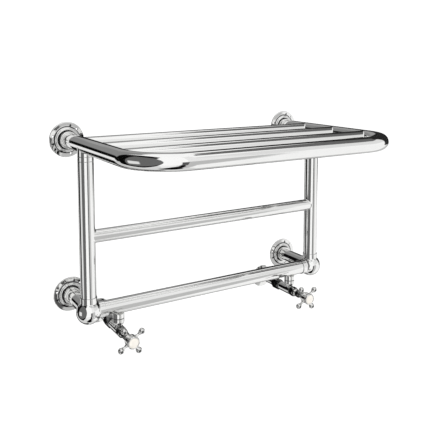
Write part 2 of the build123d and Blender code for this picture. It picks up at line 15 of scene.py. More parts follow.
import bmesh
import bpy
from mathutils import Matrix, Vector

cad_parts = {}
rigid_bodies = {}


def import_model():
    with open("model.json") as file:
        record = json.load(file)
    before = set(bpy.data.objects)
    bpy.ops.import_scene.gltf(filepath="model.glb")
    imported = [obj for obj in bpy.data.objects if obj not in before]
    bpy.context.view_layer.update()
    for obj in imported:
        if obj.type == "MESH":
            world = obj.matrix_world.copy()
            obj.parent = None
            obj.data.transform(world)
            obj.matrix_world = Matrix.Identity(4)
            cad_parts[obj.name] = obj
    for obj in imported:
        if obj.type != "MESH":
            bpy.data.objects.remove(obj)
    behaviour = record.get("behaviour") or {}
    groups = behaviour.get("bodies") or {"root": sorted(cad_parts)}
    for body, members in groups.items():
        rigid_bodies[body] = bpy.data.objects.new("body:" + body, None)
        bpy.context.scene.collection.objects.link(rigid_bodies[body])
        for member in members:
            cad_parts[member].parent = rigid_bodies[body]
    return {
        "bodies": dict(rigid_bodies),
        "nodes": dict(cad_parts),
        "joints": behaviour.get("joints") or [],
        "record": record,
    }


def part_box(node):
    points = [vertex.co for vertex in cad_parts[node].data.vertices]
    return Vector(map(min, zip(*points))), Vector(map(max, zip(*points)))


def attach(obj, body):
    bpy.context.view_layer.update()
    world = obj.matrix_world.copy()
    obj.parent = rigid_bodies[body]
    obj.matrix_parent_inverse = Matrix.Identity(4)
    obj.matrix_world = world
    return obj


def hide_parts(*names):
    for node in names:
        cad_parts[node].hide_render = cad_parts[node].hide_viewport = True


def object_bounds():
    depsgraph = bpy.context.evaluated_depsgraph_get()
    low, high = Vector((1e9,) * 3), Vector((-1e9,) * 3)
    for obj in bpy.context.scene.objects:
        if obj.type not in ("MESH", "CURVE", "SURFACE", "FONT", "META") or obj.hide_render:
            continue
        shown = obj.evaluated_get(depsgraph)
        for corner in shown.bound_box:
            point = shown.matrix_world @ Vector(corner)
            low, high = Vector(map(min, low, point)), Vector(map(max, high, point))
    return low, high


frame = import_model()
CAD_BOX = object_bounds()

log = logging.getLogger("towel_rail")

MM = 0.001
FULL_TURN = 2 * math.pi
QUARTER_TURN = math.pi / 2
ROUND_STEPS = 5
MERGE_MM = 1e-4
# Name of the vertex layer that says where shade is painted into the chrome.
SHADE_LAYER = "cove_film"
CRISP_EDGE = 35.0
CARD_FADE = "card_fade"
CARD_EDGE = 2.5
CHROME_RETURN = 0.86
TUBE_STEPS = 128
FLANGE_STEPS = 144
HEX_TURN_OFF = math.radians(30)
HEX_CORNER = 0.5715
HEX_FACE_INSET = 0.5

Socket = bpy.types.NodeSocket
Outline = Sequence[tuple[float, ...]]
Ring = Callable[[float], tuple[float, float]]
# A function that gives the shade painted at a point, from 0 to 1.
PaintedShade = Callable[[Vector], float]


class Side(Enum):
    """The two ends of the rail, each with the sign of its x."""

    LEFT = -1
    RIGHT = 1

    @property
    def tag(self) -> str:
        """The side's word in node and body names."""
        return self.name.lower()


class Slot(Enum):
    """The record's material slots."""

    RAIL = "rail_chrome"
    FLANGE = "flange_chrome"
    VALVE = "valve_chrome"
    HANDLE = "handle_chrome"
    PORCELAIN = "porcelain"
    BRASS = "plain_brass"
    STEEL = "screw_steel"
    RUBBER = "seal_rubber"


# Finishes


def linear(hex_code: str) -> tuple[float, float, float, float]:
    """Turn an sRGB hex colour into a linear one.

    Args:
        hex_code: Six hex digits, such as "E8E9EA".

    Returns:
        Linear red, green and blue with an alpha of 1.
    """
    parts = [int(hex_code[i : i + 2], 16) / 255 for i in (0, 2, 4)]
    low = [p / 12.92 if p <= 0.04045 else ((p + 0.055) / 1.055) ** 2.4 for p in parts]
    return (low[0], low[1], low[2], 1.0)


def add_node(
    tree: bpy.types.NodeTree,
    kind: str,
    inputs: dict[str | int, Any] | None = None,
    **settings: Any,
) -> bpy.types.Node:
    """Add one node with its settings, input values and links.

    Args:
        tree: The node tree that gets the node.
        kind: The node's type name.
        inputs: Input name or number, to a value or to another node's output.
        **settings: The node's own properties.

    Returns:
        The new node.
    """
    node = tree.nodes.new(kind)
    for key, value in settings.items():
        setattr(node, key, value)
    for key, value in (inputs or {}).items():
        if isinstance(value, bpy.types.NodeSocket):
            tree.links.new(value, node.inputs[key])
        else:
            node.inputs[key].default_value = value
    return node


def new_tree(name: str) -> tuple[bpy.types.Material, bpy.types.NodeTree]:
    """Make an empty node material.

    Args:
        name: The material's name.

    Returns:
        The material and its empty tree.
    """
    material = bpy.data.materials.new(name)
    material.use_nodes = True
    material.node_tree.nodes.clear()
    return material, material.node_tree


def noise(
    tree: bpy.types.NodeTree, size_mm: float, detail: float, roughness: float = 0.5
) -> Socket:
    """Add cloudy noise that lies on the piece's own coordinates.

    Args:
        tree: The node tree.
        size_mm: Size of its patches.
        detail: How many finer layers it has.
        roughness: How strong the finer layers are.

    Returns:
        The noise, from 0 to 1.
    """
    place = add_node(tree, "ShaderNodeTexCoord").outputs["Object"]
    inputs = {
        "Vector": place,
        "Scale": 1 / (size_mm * MM),
        "Detail": detail,
        "Roughness": roughness,
    }
    return add_node(tree, "ShaderNodeTexNoise", inputs).outputs["Fac"]


def blend(tree: bpy.types.NodeTree, share: Socket, first: str | Socket, second: str) -> Socket:
    """Blend two colours.

    Args:
        tree: The node tree.
        share: Share of the second colour.
        first: Hex colour, or another node's colour.
        second: Hex colour.

    Returns:
        The blended colour.
    """
    start = linear(first) if isinstance(first, str) else first
    inputs = {0: share, 6: start, 7: linear(second)}
    return add_node(tree, "ShaderNodeMix", inputs, data_type="RGBA").outputs[2]


def relief(
    tree: bpy.types.NodeTree, height: Socket, strength: float, depth_um: float
) -> Socket:
    """Turn a height into a finely bumped surface.

    Args:
        tree: The node tree.
        height: The height, from 0 to 1.
        strength: How much of the bump shows.
        depth_um: The bump's depth, in thousandths of a millimetre.

    Returns:
        The bumped normal.
    """
    inputs = {"Height": height, "Strength": strength, "Distance": depth_um * MM * MM}
    return add_node(tree, "ShaderNodeBump", inputs).outputs["Normal"]


def surface(tree: bpy.types.NodeTree, inputs: dict[str | int, Any]) -> None:
    """Finish a tree with one surface shader.

    Args:
        tree: The node tree.
        inputs: The shader's values and links.
    """
    shader = add_node(tree, "ShaderNodeBsdfPrincipled", inputs).outputs["BSDF"]
    add_node(tree, "ShaderNodeOutputMaterial", {"Surface": shader})


@dataclass(frozen=True)
class ChromePlate:
    """Decorative chromium over bright nickel: a mirror that shows how its base was made.

    Attributes:
        name: The finish's name.
        bright: Colour of freshly wiped chrome.
        deep: Colour where the nickel below tints it a little.
        cove: Colour painted into coves, seams, grooves and screw holes as shade.
        polish: Roughness of the buffed surface.
        haze: Extra roughness where a cloth has left a film.
        film_mm: Size of the film's patches.
        wave_mm: Length of the waves that buffing leaves.
        wave_um: Depth of those waves, in thousandths of a millimetre.
    """

    name: str
    bright: str
    deep: str
    cove: str
    polish: float
    haze: float
    film_mm: float
    wave_mm: float
    wave_um: float

    COVE_ROUGHNESS = 0.12

    def make(self) -> bpy.types.Material:
        """Build the finish.

        Returns:
            Its material.
        """
        material, tree = new_tree(self.name)
        film = noise(tree, self.film_mm, 4.0, 0.55)
        waves = noise(tree, self.wave_mm, 1.0, 0.4)
        # Painted shade: a vertex layer blends the chrome towards the dark cove colour, and adds a
        # little roughness, in coves, seams, grooves and screw holes.
        cove = add_node(tree, "ShaderNodeAttribute", attribute_name=SHADE_LAYER).outputs["Fac"]
        tint = blend(tree, film, self.bright, self.deep)
        clean = add_node(
            tree,
            "ShaderNodeMapRange",
            {
                "Value": film,
                "From Min": 0.35,
                "From Max": 0.75,
                "To Min": self.polish,
                "To Max": self.polish + self.haze,
            },
        ).outputs["Result"]
        rough = add_node(
            tree,
            "ShaderNodeMath",
            {0: cove, 1: self.COVE_ROUGHNESS, 2: clean},
            operation="MULTIPLY_ADD",
        ).outputs["Value"]
        inputs = {
            "Base Color": blend(tree, cove, tint, self.cove),
            "Metallic": 1.0,
            "Roughness": rough,
            "Normal": relief(tree, waves, 1.0, self.wave_um),
        }
        surface(tree, inputs)
        return material


@dataclass(frozen=True)
class TurnedMetal:
    """Bare brass or steel off the lathe: fine tool rings, and a warm or grey film of tarnish.

    Attributes:
        name: The finish's name.
        fresh: Colour of the cut metal.
        aged: Colour of the tarnished metal.
        roughness: Roughness of the cut surface.
        ring_mm: Pitch of the tool rings, drawn coarser than real ones so that they show.
        spot_mm: Size of the tarnish spots.
    """

    name: str
    fresh: str
    aged: str
    roughness: float
    ring_mm: float
    spot_mm: float

    def make(self) -> bpy.types.Material:
        """Build the finish.

        Returns:
            Its material.
        """
        material, tree = new_tree(self.name)
        spots = noise(tree, self.spot_mm, 5.0, 0.6)
        place = add_node(tree, "ShaderNodeTexCoord").outputs["Object"]
        rings = add_node(
            tree,
            "ShaderNodeTexWave",
            {"Vector": place, "Scale": 1 / (20 * self.ring_mm * MM), "Distortion": 1.5},
            bands_direction="Y",
        ).outputs["Fac"]
        rough = add_node(
            tree,
            "ShaderNodeMapRange",
            {"Value": spots, "To Min": self.roughness, "To Max": self.roughness + 0.2},
        ).outputs["Result"]
        inputs = {
            "Base Color": blend(tree, spots, self.fresh, self.aged),
            "Metallic": 1.0,
            "Roughness": rough,
            "Normal": relief(tree, rings, 0.4, 20),
        }
        surface(tree, inputs)
        return material


@dataclass(frozen=True)
class GlazedPorcelain:
    """Slip-cast porcelain under a clear glaze: a soft ivory body, cloudy, with a wet gloss on top.

    Attributes:
        name: The finish's name.
        body: Colour of the fired clay under the glaze.
        cloud: Colour where the glaze lies thicker.
        cloud_mm: Size of the clouds.
        peel_mm: Size of the glaze's faint orange peel.
    """

    name: str
    body: str
    cloud: str
    cloud_mm: float
    peel_mm: float

    def make(self) -> bpy.types.Material:
        """Build the finish.

        Returns:
            Its material.
        """
        material, tree = new_tree(self.name)
        clouds = noise(tree, self.cloud_mm, 3.0)
        peel = noise(tree, self.peel_mm, 1.0)
        inputs = {
            "Base Color": blend(tree, clouds, self.body, self.cloud),
            "Roughness": 0.35,
            "IOR": 1.5,
            "Coat Weight": 1.0,
            "Coat Roughness": 0.04,
            "Coat IOR": 1.5,
            "Normal": relief(tree, peel, 0.5, 4),
        }
        surface(tree, inputs)
        return material


@dataclass(frozen=True)
class MouldedRubber:
    """Moulded black EPDM: matt, a little dusty, with a fine grain from the mould.

    Attributes:
        name: The finish's name.
        black: Colour of the clean rubber.
        dusty: Colour where bloom and dust sit on it.
        grain_mm: Size of the mould's grain.
    """

    name: str
    black: str
    dusty: str
    grain_mm: float

    def make(self) -> bpy.types.Material:
        """Build the finish.

        Returns:
            Its material.
        """
        material, tree = new_tree(self.name)
        grain = noise(tree, self.grain_mm, 3.0)
        inputs = {
            "Base Color": blend(tree, grain, self.black, self.dusty),
            "Roughness": 0.75,
            "IOR": 1.52,
            "Normal": relief(tree, grain, 0.6, 30),
        }
        surface(tree, inputs)
        return material


# Chrome on drawn tube is buffed along its length, so it mirrors straight lines almost cleanly.
RAIL_PLATE = ChromePlate(
    "chrome_on_drawn_brass_tube", "F0F0EF", "E5E5E4", "2C2D2F", 0.05, 0.04, 70, 45, 3
)
# Chrome on turned brass keeps crisp steps, with darker painted shade in its coves.
FLANGE_PLATE = ChromePlate(
    "chrome_on_turned_brass", "EEEEED", "E1E1E0", "232426", 0.03, 0.04, 18, 14, 2
)
# Chrome on hot-pressed brass is softer: its flats bend a reflection a little.
VALVE_PLATE = ChromePlate(
    "chrome_on_pressed_brass", "EDEDEC", "DFDFDD", "232426", 0.03, 0.04, 12, 9, 3
)
# Chrome on cast brass is hand-buffed, which leaves a slight wave between the arms.
HANDLE_PLATE = ChromePlate(
    "chrome_on_cast_brass", "EFEFEE", "E2E2E0", "232426", 0.03, 0.04, 10, 8, 3
)
# Ivory glazed porcelain reads as a warm white disc with one clear highlight.
BUTTON_GLAZE = GlazedPorcelain("ivory_glazed_porcelain", "F1EDE6", "EAE4DA", 6, 1.5)
# Bare turned brass shows yellow through its tarnish wherever it isn't plated.
BARE_BRASS = TurnedMetal("bare_turned_brass", "D9B66A", "A98442", 0.25, 0.8, 5)
# Zinc-plated steel screws look grey and a little dull beside the chrome.
SCREW_STEEL = TurnedMetal("zinc_plated_steel", "C9CBCC", "9C9FA1", 0.3, 0.5, 3)
# EPDM seals are matt black.
SEAL_RUBBER = MouldedRubber("moulded_black_epdm", "141414", "26262A", 0.6)

FINISHES = {
    Slot.RAIL: RAIL_PLATE,
    Slot.FLANGE: FLANGE_PLATE,
    Slot.VALVE: VALVE_PLATE,
    Slot.HANDLE: HANDLE_PLATE,
    Slot.PORCELAIN: BUTTON_GLAZE,
    Slot.BRASS: BARE_BRASS,
    Slot.STEEL: SCREW_STEEL,
    Slot.RUBBER: SEAL_RUBBER,
}


# Bench work: closed shells in millimetres


def extruded(
    shell: bmesh.types.BMesh, edges: Sequence[bmesh.types.BMEdge]
) -> tuple[list[bmesh.types.BMVert], list[bmesh.types.BMEdge]]:
    """Extrude a loop of edges, for the caller to move.

    Args:
        shell: The shell that has the loop.
        edges: The loop.

    Returns:
        The new loop's vertices and edges.
    """
    made = bmesh.ops.extrude_edge_only(shell, edges=edges)["geom"]
    verts = [item for item in made if isinstance(item, bmesh.types.BMVert)]
    fresh = set(verts)
    loop = [
        item
        for item in made
        if isinstance(item, bmesh.types.BMEdge) and fresh.issuperset(item.verts)
    ]
    return verts, loop


def from_wall(x: float, z: float) -> Matrix:
    """Place a piece made along local +Z so that it comes straight out of the wall."""
    return Matrix.Translation((x, 0, z)) @ Matrix.Rotation(QUARTER_TURN, 4, "X")


def along_x(y: float, z: float) -> Matrix:
    """Place a piece made along local +Z so that it runs towards +X."""
    return Matrix.Translation((0, y, z)) @ Matrix.Rotation(QUARTER_TURN, 4, "Y")


def upright(x: float, y: float) -> Matrix:
    """Place a piece made along local +Z where it stands upright."""
    return Matrix.Translation((x, y, 0))


def eased(
    shell: bmesh.types.BMesh, corners: Sequence[bmesh.types.BMVert], size: float, steps: int
) -> None:
    """Round the corners of an outline.

    Args:
        shell: The shell that has the outline.
        corners: Its corners.
        size: Distance from a corner to where the rounding starts.
        steps: Segments in the rounding.
    """
    bmesh.ops.bevel(
        shell,
        geom=corners,
        offset=size,
        offset_type="OFFSET",
        segments=steps,
        profile=0.5,
        affect="VERTICES",
        material=-1,
        clamp_overlap=True,
    )


class Workpiece:
    """Closed shells of one piece, made in millimetres and put in place one by one."""

    def __init__(self) -> None:
        """Start with an empty bench."""
        self.shells = bmesh.new()

    def take(self, shell: bmesh.types.BMesh, place: Matrix) -> "Workpiece":
        """Close a shell's seams, turn its faces outwards and put it in place.

        Args:
            shell: The shell, which is used up.
            place: Where it goes, in millimetres.

        Returns:
            This workpiece.
        """
        bmesh.ops.remove_doubles(shell, verts=shell.verts[:], dist=MERGE_MM)
        bmesh.ops.recalc_face_normals(shell, faces=shell.faces[:])
        bmesh.ops.transform(shell, matrix=place, verts=shell.verts[:])
        held = bpy.data.meshes.new("held")
        shell.to_mesh(held)
        shell.free()
        self.shells.from_mesh(held)
        bpy.data.meshes.remove(held)
        return self

    def turned(self, outline: Outline, place: Matrix, steps: int = 96) -> "Workpiece":
        """Turn an outline about local Z.

        Args:
            outline: Corners as (radius, height) or (radius, height, rounding). An outline
                that doesn't start on the axis is closed on itself.
            place: Where the shell goes.
            steps: Divisions round the turn.

        Returns:
            This workpiece.
        """
        shell = bmesh.new()
        corners = [shell.verts.new((corner[0], 0, corner[1])) for corner in outline]
        for start, end in zip(corners, corners[1:]):
            shell.edges.new((start, end))
        if outline[0][0] > 0:
            shell.edges.new((corners[-1], corners[0]))
        for vertex, corner in zip(corners, outline):
            if len(corner) == 3:
                eased(shell, [vertex], corner[2], ROUND_STEPS)
        bmesh.ops.spin(
            shell,
            geom=shell.verts[:] + shell.edges[:],
            cent=(0, 0, 0),
            axis=(0, 0, 1),
            angle=FULL_TURN,
            steps=steps,
            use_merge=True,
        )
        return self.take(shell, place)

    def lofted(self, rings: Sequence[Ring], place: Matrix, segments: int = 96) -> "Workpiece":
        """Draw a round bar out through rings whose radius and height follow the angle.

        Args:
            rings: Functions of the angle round local Z that give (radius, height).
            place: Where the shell goes.
            segments: Divisions round each ring.

        Returns:
            This workpiece.
        """
        shell = bmesh.new()
        bmesh.ops.create_circle(shell, cap_ends=True, segments=segments, radius=1.0)
        edges = shell.edges[:]
        verts = shell.verts[:]
        for number, ring in enumerate(rings):
            if number:
                verts, edges = extruded(shell, edges)
            for vertex in verts:
                angle = math.atan2(vertex.co.y, vertex.co.x)
                radius, height = ring(angle)
                vertex.co = (radius * math.cos(angle), radius * math.sin(angle), height)
        bmesh.ops.edgeloop_fill(shell, edges=edges)
        return self.take(shell, place)

    def sphere(self, radius: float, place: Matrix, divisions: int = 48) -> "Workpiece":
        """Add a polished ball.

        Args:
            radius: The ball's radius.
            place: Where its centre goes.
            divisions: Divisions from pole to pole.

        Returns:
            This workpiece.
        """
        shell = bmesh.new()
        bmesh.ops.create_uvsphere(
            shell, u_segments=2 * divisions, v_segments=divisions, radius=radius
        )
        return self.take(shell, place)

    def hexagon(self, flats: float, start: float, end: float, place: Matrix) -> "Workpiece":
        """Add a hexagon bar whose end corners are turned off at 30 degrees.

        Args:
            flats: Distance across the flats.
            start: Where it starts along local Z.
            end: Where it ends.
            place: Where the shell goes.

        Returns:
            This workpiece.
        """
        slope = math.tan(HEX_TURN_OFF)
        face_r = flats / 2 - HEX_FACE_INSET

        def across(angle: float) -> float:
            """The hexagon's radius at an angle, with its long edges eased."""
            off = (angle + FULL_TURN) % (FULL_TURN / 6) - FULL_TURN / 12
            return min(flats / 2 / math.cos(off), flats * HEX_CORNER)

        def drop(angle: float) -> float:
            """How far the turned corner falls at an angle."""
            return (across(angle) - face_r) * slope

        rings: list[Ring] = [
            lambda angle: (face_r, start),
            lambda angle: (across(angle), start + drop(angle)),
            lambda angle: (across(angle), end - drop(angle)),
            lambda angle: (face_r, end),
        ]
        return self.lofted(rings, place, FLANGE_STEPS)

    def finish(
        self,
        name: str,
        body: str,
        nodes: Sequence[str],
        slot: Slot,
        film: PaintedShade | None = None,
    ) -> bpy.types.Object:
        """Make the piece's object, dress it and mount it on its body.

        Args:
            name: The piece's name.
            body: The CAD body that it rides on.
            nodes: The CAD nodes that it stands for.
            slot: The material slot that it takes its finish from.
            film: How much shade, from 0 to 1, is painted at a point in millimetres.

        Returns:
            The finished object.
        """
        # Store on each vertex how much shade is painted there.
        if film is not None:
            layer = self.shells.verts.layers.float.new(SHADE_LAYER)
            for vertex in self.shells.verts:
                vertex[layer] = film(vertex.co)
        bmesh.ops.scale(self.shells, vec=(MM, MM, MM), verts=self.shells.verts[:])
        for face in self.shells.faces:
            face.smooth = True
        mesh = bpy.data.meshes.new(name)
        self.shells.to_mesh(mesh)
        self.shells.free()
        return mount(mesh, name, body, nodes, slot)


def material_for(slot: Slot) -> bpy.types.Material:
    """The slot's material, made on first use."""
    finish = FINISHES[slot]
    return bpy.data.materials.get(finish.name) or finish.make()


def mount(
    mesh: bpy.types.Mesh,
    name: str,
    body: str,
    nodes: Sequence[str],
    slot: Slot,
) -> bpy.types.Object:
    """Link a finished mesh as a piece of the rail.

    Args:
        mesh: The mesh, in metres and in place.
        name: The piece's name.
        body: The CAD body that it rides on.
        nodes: The CAD nodes that it stands for.
        slot: The material slot that it takes its finish from.

    Returns:
        The linked object.
    """
    mesh.name = name
    mesh.materials.clear()
    mesh.materials.append(material_for(slot))
    mesh.set_sharp_from_angle(angle=math.radians(CRISP_EDGE))
    piece = bpy.data.objects.new(name, mesh)
    bpy.context.scene.collection.objects.link(piece)
    even = piece.modifiers.new("even_normals", "WEIGHTED_NORMAL")
    even.keep_sharp = True
    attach(piece, body)
    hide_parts(*nodes)
    log.info("%s: %d faces for %s", name, len(mesh.polygons), ", ".join(nodes))
    return piece


def cut_away(blank: Workpiece, tools: Sequence[Workpiece]) -> bpy.types.Mesh:
    """Cut cutters out of a blank.

    Args:
        blank: The piece to cut.
        tools: The cutters.

    Returns:
        The cut mesh, in millimetres.
    """
    made = []
    for number, work in enumerate([blank, *tools]):
        mesh = bpy.data.meshes.new(f"bench_{number}")
        work.shells.to_mesh(mesh)
        work.shells.free()
        thing = bpy.data.objects.new(mesh.name, mesh)
        bpy.context.scene.collection.objects.link(thing)
        made.append(thing)
    for tool in made[1:]:
        cut = made[0].modifiers.new("cut", "BOOLEAN")
        cut.operation = "DIFFERENCE"
        cut.solver = "EXACT"
        cut.object = tool
    bpy.context.view_layer.update()
    seen = made[0].evaluated_get(bpy.context.evaluated_depsgraph_get())
    result = bpy.data.meshes.new_from_object(seen)
    for thing in made:
        mesh = thing.data
        bpy.data.objects.remove(thing)
        bpy.data.meshes.remove(mesh)
    return result


# Layout read from the CAD model


@dataclass(frozen=True)
class Layout:
    """Where the rail's main lines run, in millimetres.

    Attributes:
        post_x: Distance of a post from the middle.
        standoff: Distance of the posts from the wall.
        tube_r: Radius of the posts, the shelf's frame and the lower bar.
        rise: Height of the shelf above the lower bar.
        reach: Distance of the front rail's axis from the wall.
        arm_r: Radius of the lower arms.
        valve_x: Distance of a valve from the middle.
        valve_z: Height of the valves.
    """

    post_x: float
    standoff: float
    tube_r: float
    rise: float
    reach: float
    arm_r: float
    valve_x: float
    valve_z: float

    @classmethod
    def measured(cls) -> "Layout":
        """Read the layout from the CAD nodes' boxes.

        Returns:
            The layout.
        """
        post_low, post_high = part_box("post_right")
        shelf_low, shelf_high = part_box("shelf_frame")
        arm_low, arm_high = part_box("lower_arm_right")
        spindle_low, spindle_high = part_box("spindle_right")
        post = (post_low + post_high) / 2 / MM
        spindle = (spindle_low + spindle_high) / 2 / MM
        tube_r = (post_high.x - post_low.x) / 2 / MM
        return cls(
            post_x=post.x,
            standoff=-post.y,
            tube_r=tube_r,
            rise=(shelf_low.z + shelf_high.z) / 2 / MM,
            reach=-shelf_low.y / MM - tube_r,
            arm_r=(arm_high.x - arm_low.x) / 2 / MM,
            valve_x=spindle.x,
            valve_z=spindle.z,
        )


def saddled_bar(
    radius: float, half: float, cross_r: float, fillet: float, turn: float
) -> list[Ring]:
    """Rings of a bar whose ends flare in a soft brazed fillet onto two cross tubes.

    Args:
        radius: The bar's radius.
        half: Distance from the bar's middle to the cross tubes' axes.
        cross_r: The cross tubes' radius.
        fillet: The fillet's size where the bar meets a tube squarely.
        turn: Angle round the bar where the cross tube's axis points.

    Returns:
        Rings from one end to the other.
    """
    steps = 7
    end_sink = 0.6
    widest = cross_r * 0.995

    def end_ring(share: float, sign: int) -> Ring:
        """Make one ring of an end.

        Args:
            share: 0 where the fillet lies on the tube, and 1 where it starts from the bar.
            sign: Which end it belongs to, -1 or 1.

        Returns:
            The ring.
        """

        def ring(angle: float) -> tuple[float, float]:
            """Follow the fillet.

            Args:
                angle: Angle round the bar.

            Returns:
                Radius and height at that angle.
            """
            lean = abs(math.sin(angle - turn))
            size = fillet * math.sqrt(max(0.0, 1 - (radius * lean / cross_r) ** 2))
            bend = share * QUARTER_TURN
            grown = radius + size * (1 - math.sin(bend))
            off = min(grown * lean, widest)
            foot = math.sqrt(cross_r**2 - off**2)
            sink = end_sink * (1 - share)
            return grown, sign * (half - foot - size * (1 - math.cos(bend)) + sink)

        return ring

    low = [end_ring(step / steps, -1) for step in range(steps + 1)]
    high = [end_ring(step / steps, 1) for step in range(steps, -1, -1)]
    return low + high


# The shelf


@dataclass
class Shelf:
    """The shelf: a U of drawn tube with three cross bars brazed between its arms.

    Attributes:
        layout: The rail's main lines.
        corner_r: Bend radius of the U's corners.
        wall_gap: Distance of the arms' ends from the wall.
        fillet: Size of the brazed fillets.
    """

    layout: Layout
    corner_r: float = 105.0
    wall_gap: float = 5.2
    fillet: float = 3.0

    def frame_tube(self) -> None:
        """Bend the U from one length of tube."""
        lay = self.layout
        shell = bmesh.new()
        level = Matrix.Translation((-lay.post_x, -self.wall_gap, lay.rise))
        bmesh.ops.create_circle(
            shell,
            cap_ends=True,
            segments=96,
            radius=lay.tube_r,
            matrix=level @ Matrix.Rotation(QUARTER_TURN, 4, "X"),
        )
        edges = shell.edges[:]
        straight = lay.reach - self.corner_r - self.wall_gap
        across = 2 * (lay.post_x - self.corner_r)
        corner_y = -(lay.reach - self.corner_r)
        runs = (
            ((0, -straight, 0), (-lay.post_x + self.corner_r, corner_y, lay.rise)),
            ((across, 0, 0), (lay.post_x - self.corner_r, corner_y, lay.rise)),
            ((0, straight, 0), None),
        )
        for move, centre in runs:
            verts, edges = extruded(shell, edges)
            bmesh.ops.translate(shell, vec=move, verts=verts)
            if centre is not None:
                bent = bmesh.ops.spin(
                    shell,
                    geom=verts + edges,
                    cent=centre,
                    axis=(0, 0, 1),
                    angle=QUARTER_TURN,
                    steps=40,
                )["geom_last"]
                edges = [item for item in bent if isinstance(item, bmesh.types.BMEdge)]
        bmesh.ops.edgeloop_fill(shell, edges=edges)
        tube = Workpiece().take(shell, Matrix())
        tube.finish("shelf_tube", "rail", ["shelf_frame"], Slot.RAIL)

    def cross_bar(self, place: str) -> None:
        """Braze one cross bar between the arms.

        Args:
            place: Its place in the shelf, as in its node's name.
        """
        low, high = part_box(f"shelf_bar_{place}")
        middle = (low + high) / 2 / MM
        lay = self.layout
        radius = (high.z - low.z) / 2 / MM
        rings = saddled_bar(radius, lay.post_x, lay.tube_r, self.fillet, QUARTER_TURN)
        bar = Workpiece().lofted(rings, along_x(middle.y, lay.rise), TUBE_STEPS)
        bar.finish(f"shelf_cross_bar_{place}", "rail", [f"shelf_bar_{place}"], Slot.RAIL)

    def build(self) -> None:
        """Build the whole shelf."""
        self.frame_tube()
        for place in ("rear", "middle", "front"):
            self.cross_bar(place)


# Posts, unions and towel bars


@dataclass
class Uprights:
    """The posts with their screwed unions, and the two towel bars between them.

    Attributes:
        layout: The rail's main lines.
        groove: Depth of the turned grooves at a union ring's ends.
        fillet: Size of the brazed fillets.
    """

    layout: Layout
    groove: float = 0.9
    fillet: float = 3.0

    def post(self, side: Side) -> None:
        """Build one post.

        Args:
            side: The end of the rail.
        """
        low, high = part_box(f"post_{side.tag}")
        r = self.layout.tube_r
        outline = [(0, low.z / MM), (r, low.z / MM), (r, high.z / MM, 0.5), (0, high.z / MM)]
        place = upright(side.value * self.layout.post_x, -self.layout.standoff)
        post = Workpiece().turned(outline, place, TUBE_STEPS)
        post.finish(f"post_tube_{side.tag}", "rail", [f"post_{side.tag}"], Slot.RAIL)

    def unions(self) -> None:
        """Build both union rings, and the stubs above them that are brazed to the arms."""
        low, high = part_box("union_rings")
        start, end = low.z / MM, high.z / MM
        r = self.layout.tube_r
        ring = [
            (0, start), (r - self.groove, start), (r, start + self.groove, 0.3),
            (r, end - self.groove, 0.3), (r - self.groove, end), (0, end),
        ]
        stub = [(0, end), (r, end, 0.5), (r, self.layout.rise), (0, self.layout.rise)]
        rings, stubs = Workpiece(), Workpiece()
        for side in Side:
            place = upright(side.value * self.layout.post_x, -self.layout.standoff)
            rings.turned(ring, place, TUBE_STEPS)
            stubs.turned(stub, place, TUBE_STEPS)
        rings.finish(
            "union_ring_pair", "rail", ["union_rings"], Slot.RAIL, self.groove_film(r)
        )
        stubs.finish("arm_stub_pair", "rail", ["arm_stubs"], Slot.RAIL)

    def groove_film(self, outer_r: float) -> PaintedShade:
        """Say where shade is painted in the grooves at a union ring's ends.

        Args:
            outer_r: The ring's radius.

        Returns:
            The painted shade at a point.
        """

        def film(point: Vector) -> float:
            """Full painted shade where the ring is turned down."""
            off = math.hypot(abs(point.x) - self.layout.post_x, point.y + self.layout.standoff)
            return 1.0 if off < outer_r - 0.3 else 0.0

        return film

    def middle_bar(self) -> None:
        """Braze the middle towel bar between the posts."""
        low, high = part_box("middle_bar")
        lay = self.layout
        radius = (high.z - low.z) / 2 / MM
        level = (high.z + low.z) / 2 / MM
        rings = saddled_bar(radius, lay.post_x, lay.tube_r, self.fillet, 0.0)
        bar = Workpiece().lofted(rings, along_x(-lay.standoff, level), TUBE_STEPS)
        bar.finish("middle_towel_bar", "rail", ["middle_bar"], Slot.RAIL)

    def lower_bar(self) -> None:
        """Fit the lower towel bar between the corner balls."""
        low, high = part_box("lower_bar")
        r = self.layout.tube_r
        outline = [(0, low.x / MM), (r, low.x / MM), (r, high.x / MM), (0, high.x / MM)]
        bar = Workpiece().turned(outline, along_x(-self.layout.standoff, 0), TUBE_STEPS)
        bar.finish("lower_towel_bar", "rail", ["lower_bar"], Slot.RAIL)

    def build(self) -> None:
        """Build posts, unions and bars."""
        for side in Side:
            self.post(side)
        self.unions()
        self.middle_bar()
        self.lower_bar()


# Corner balls and lower arms


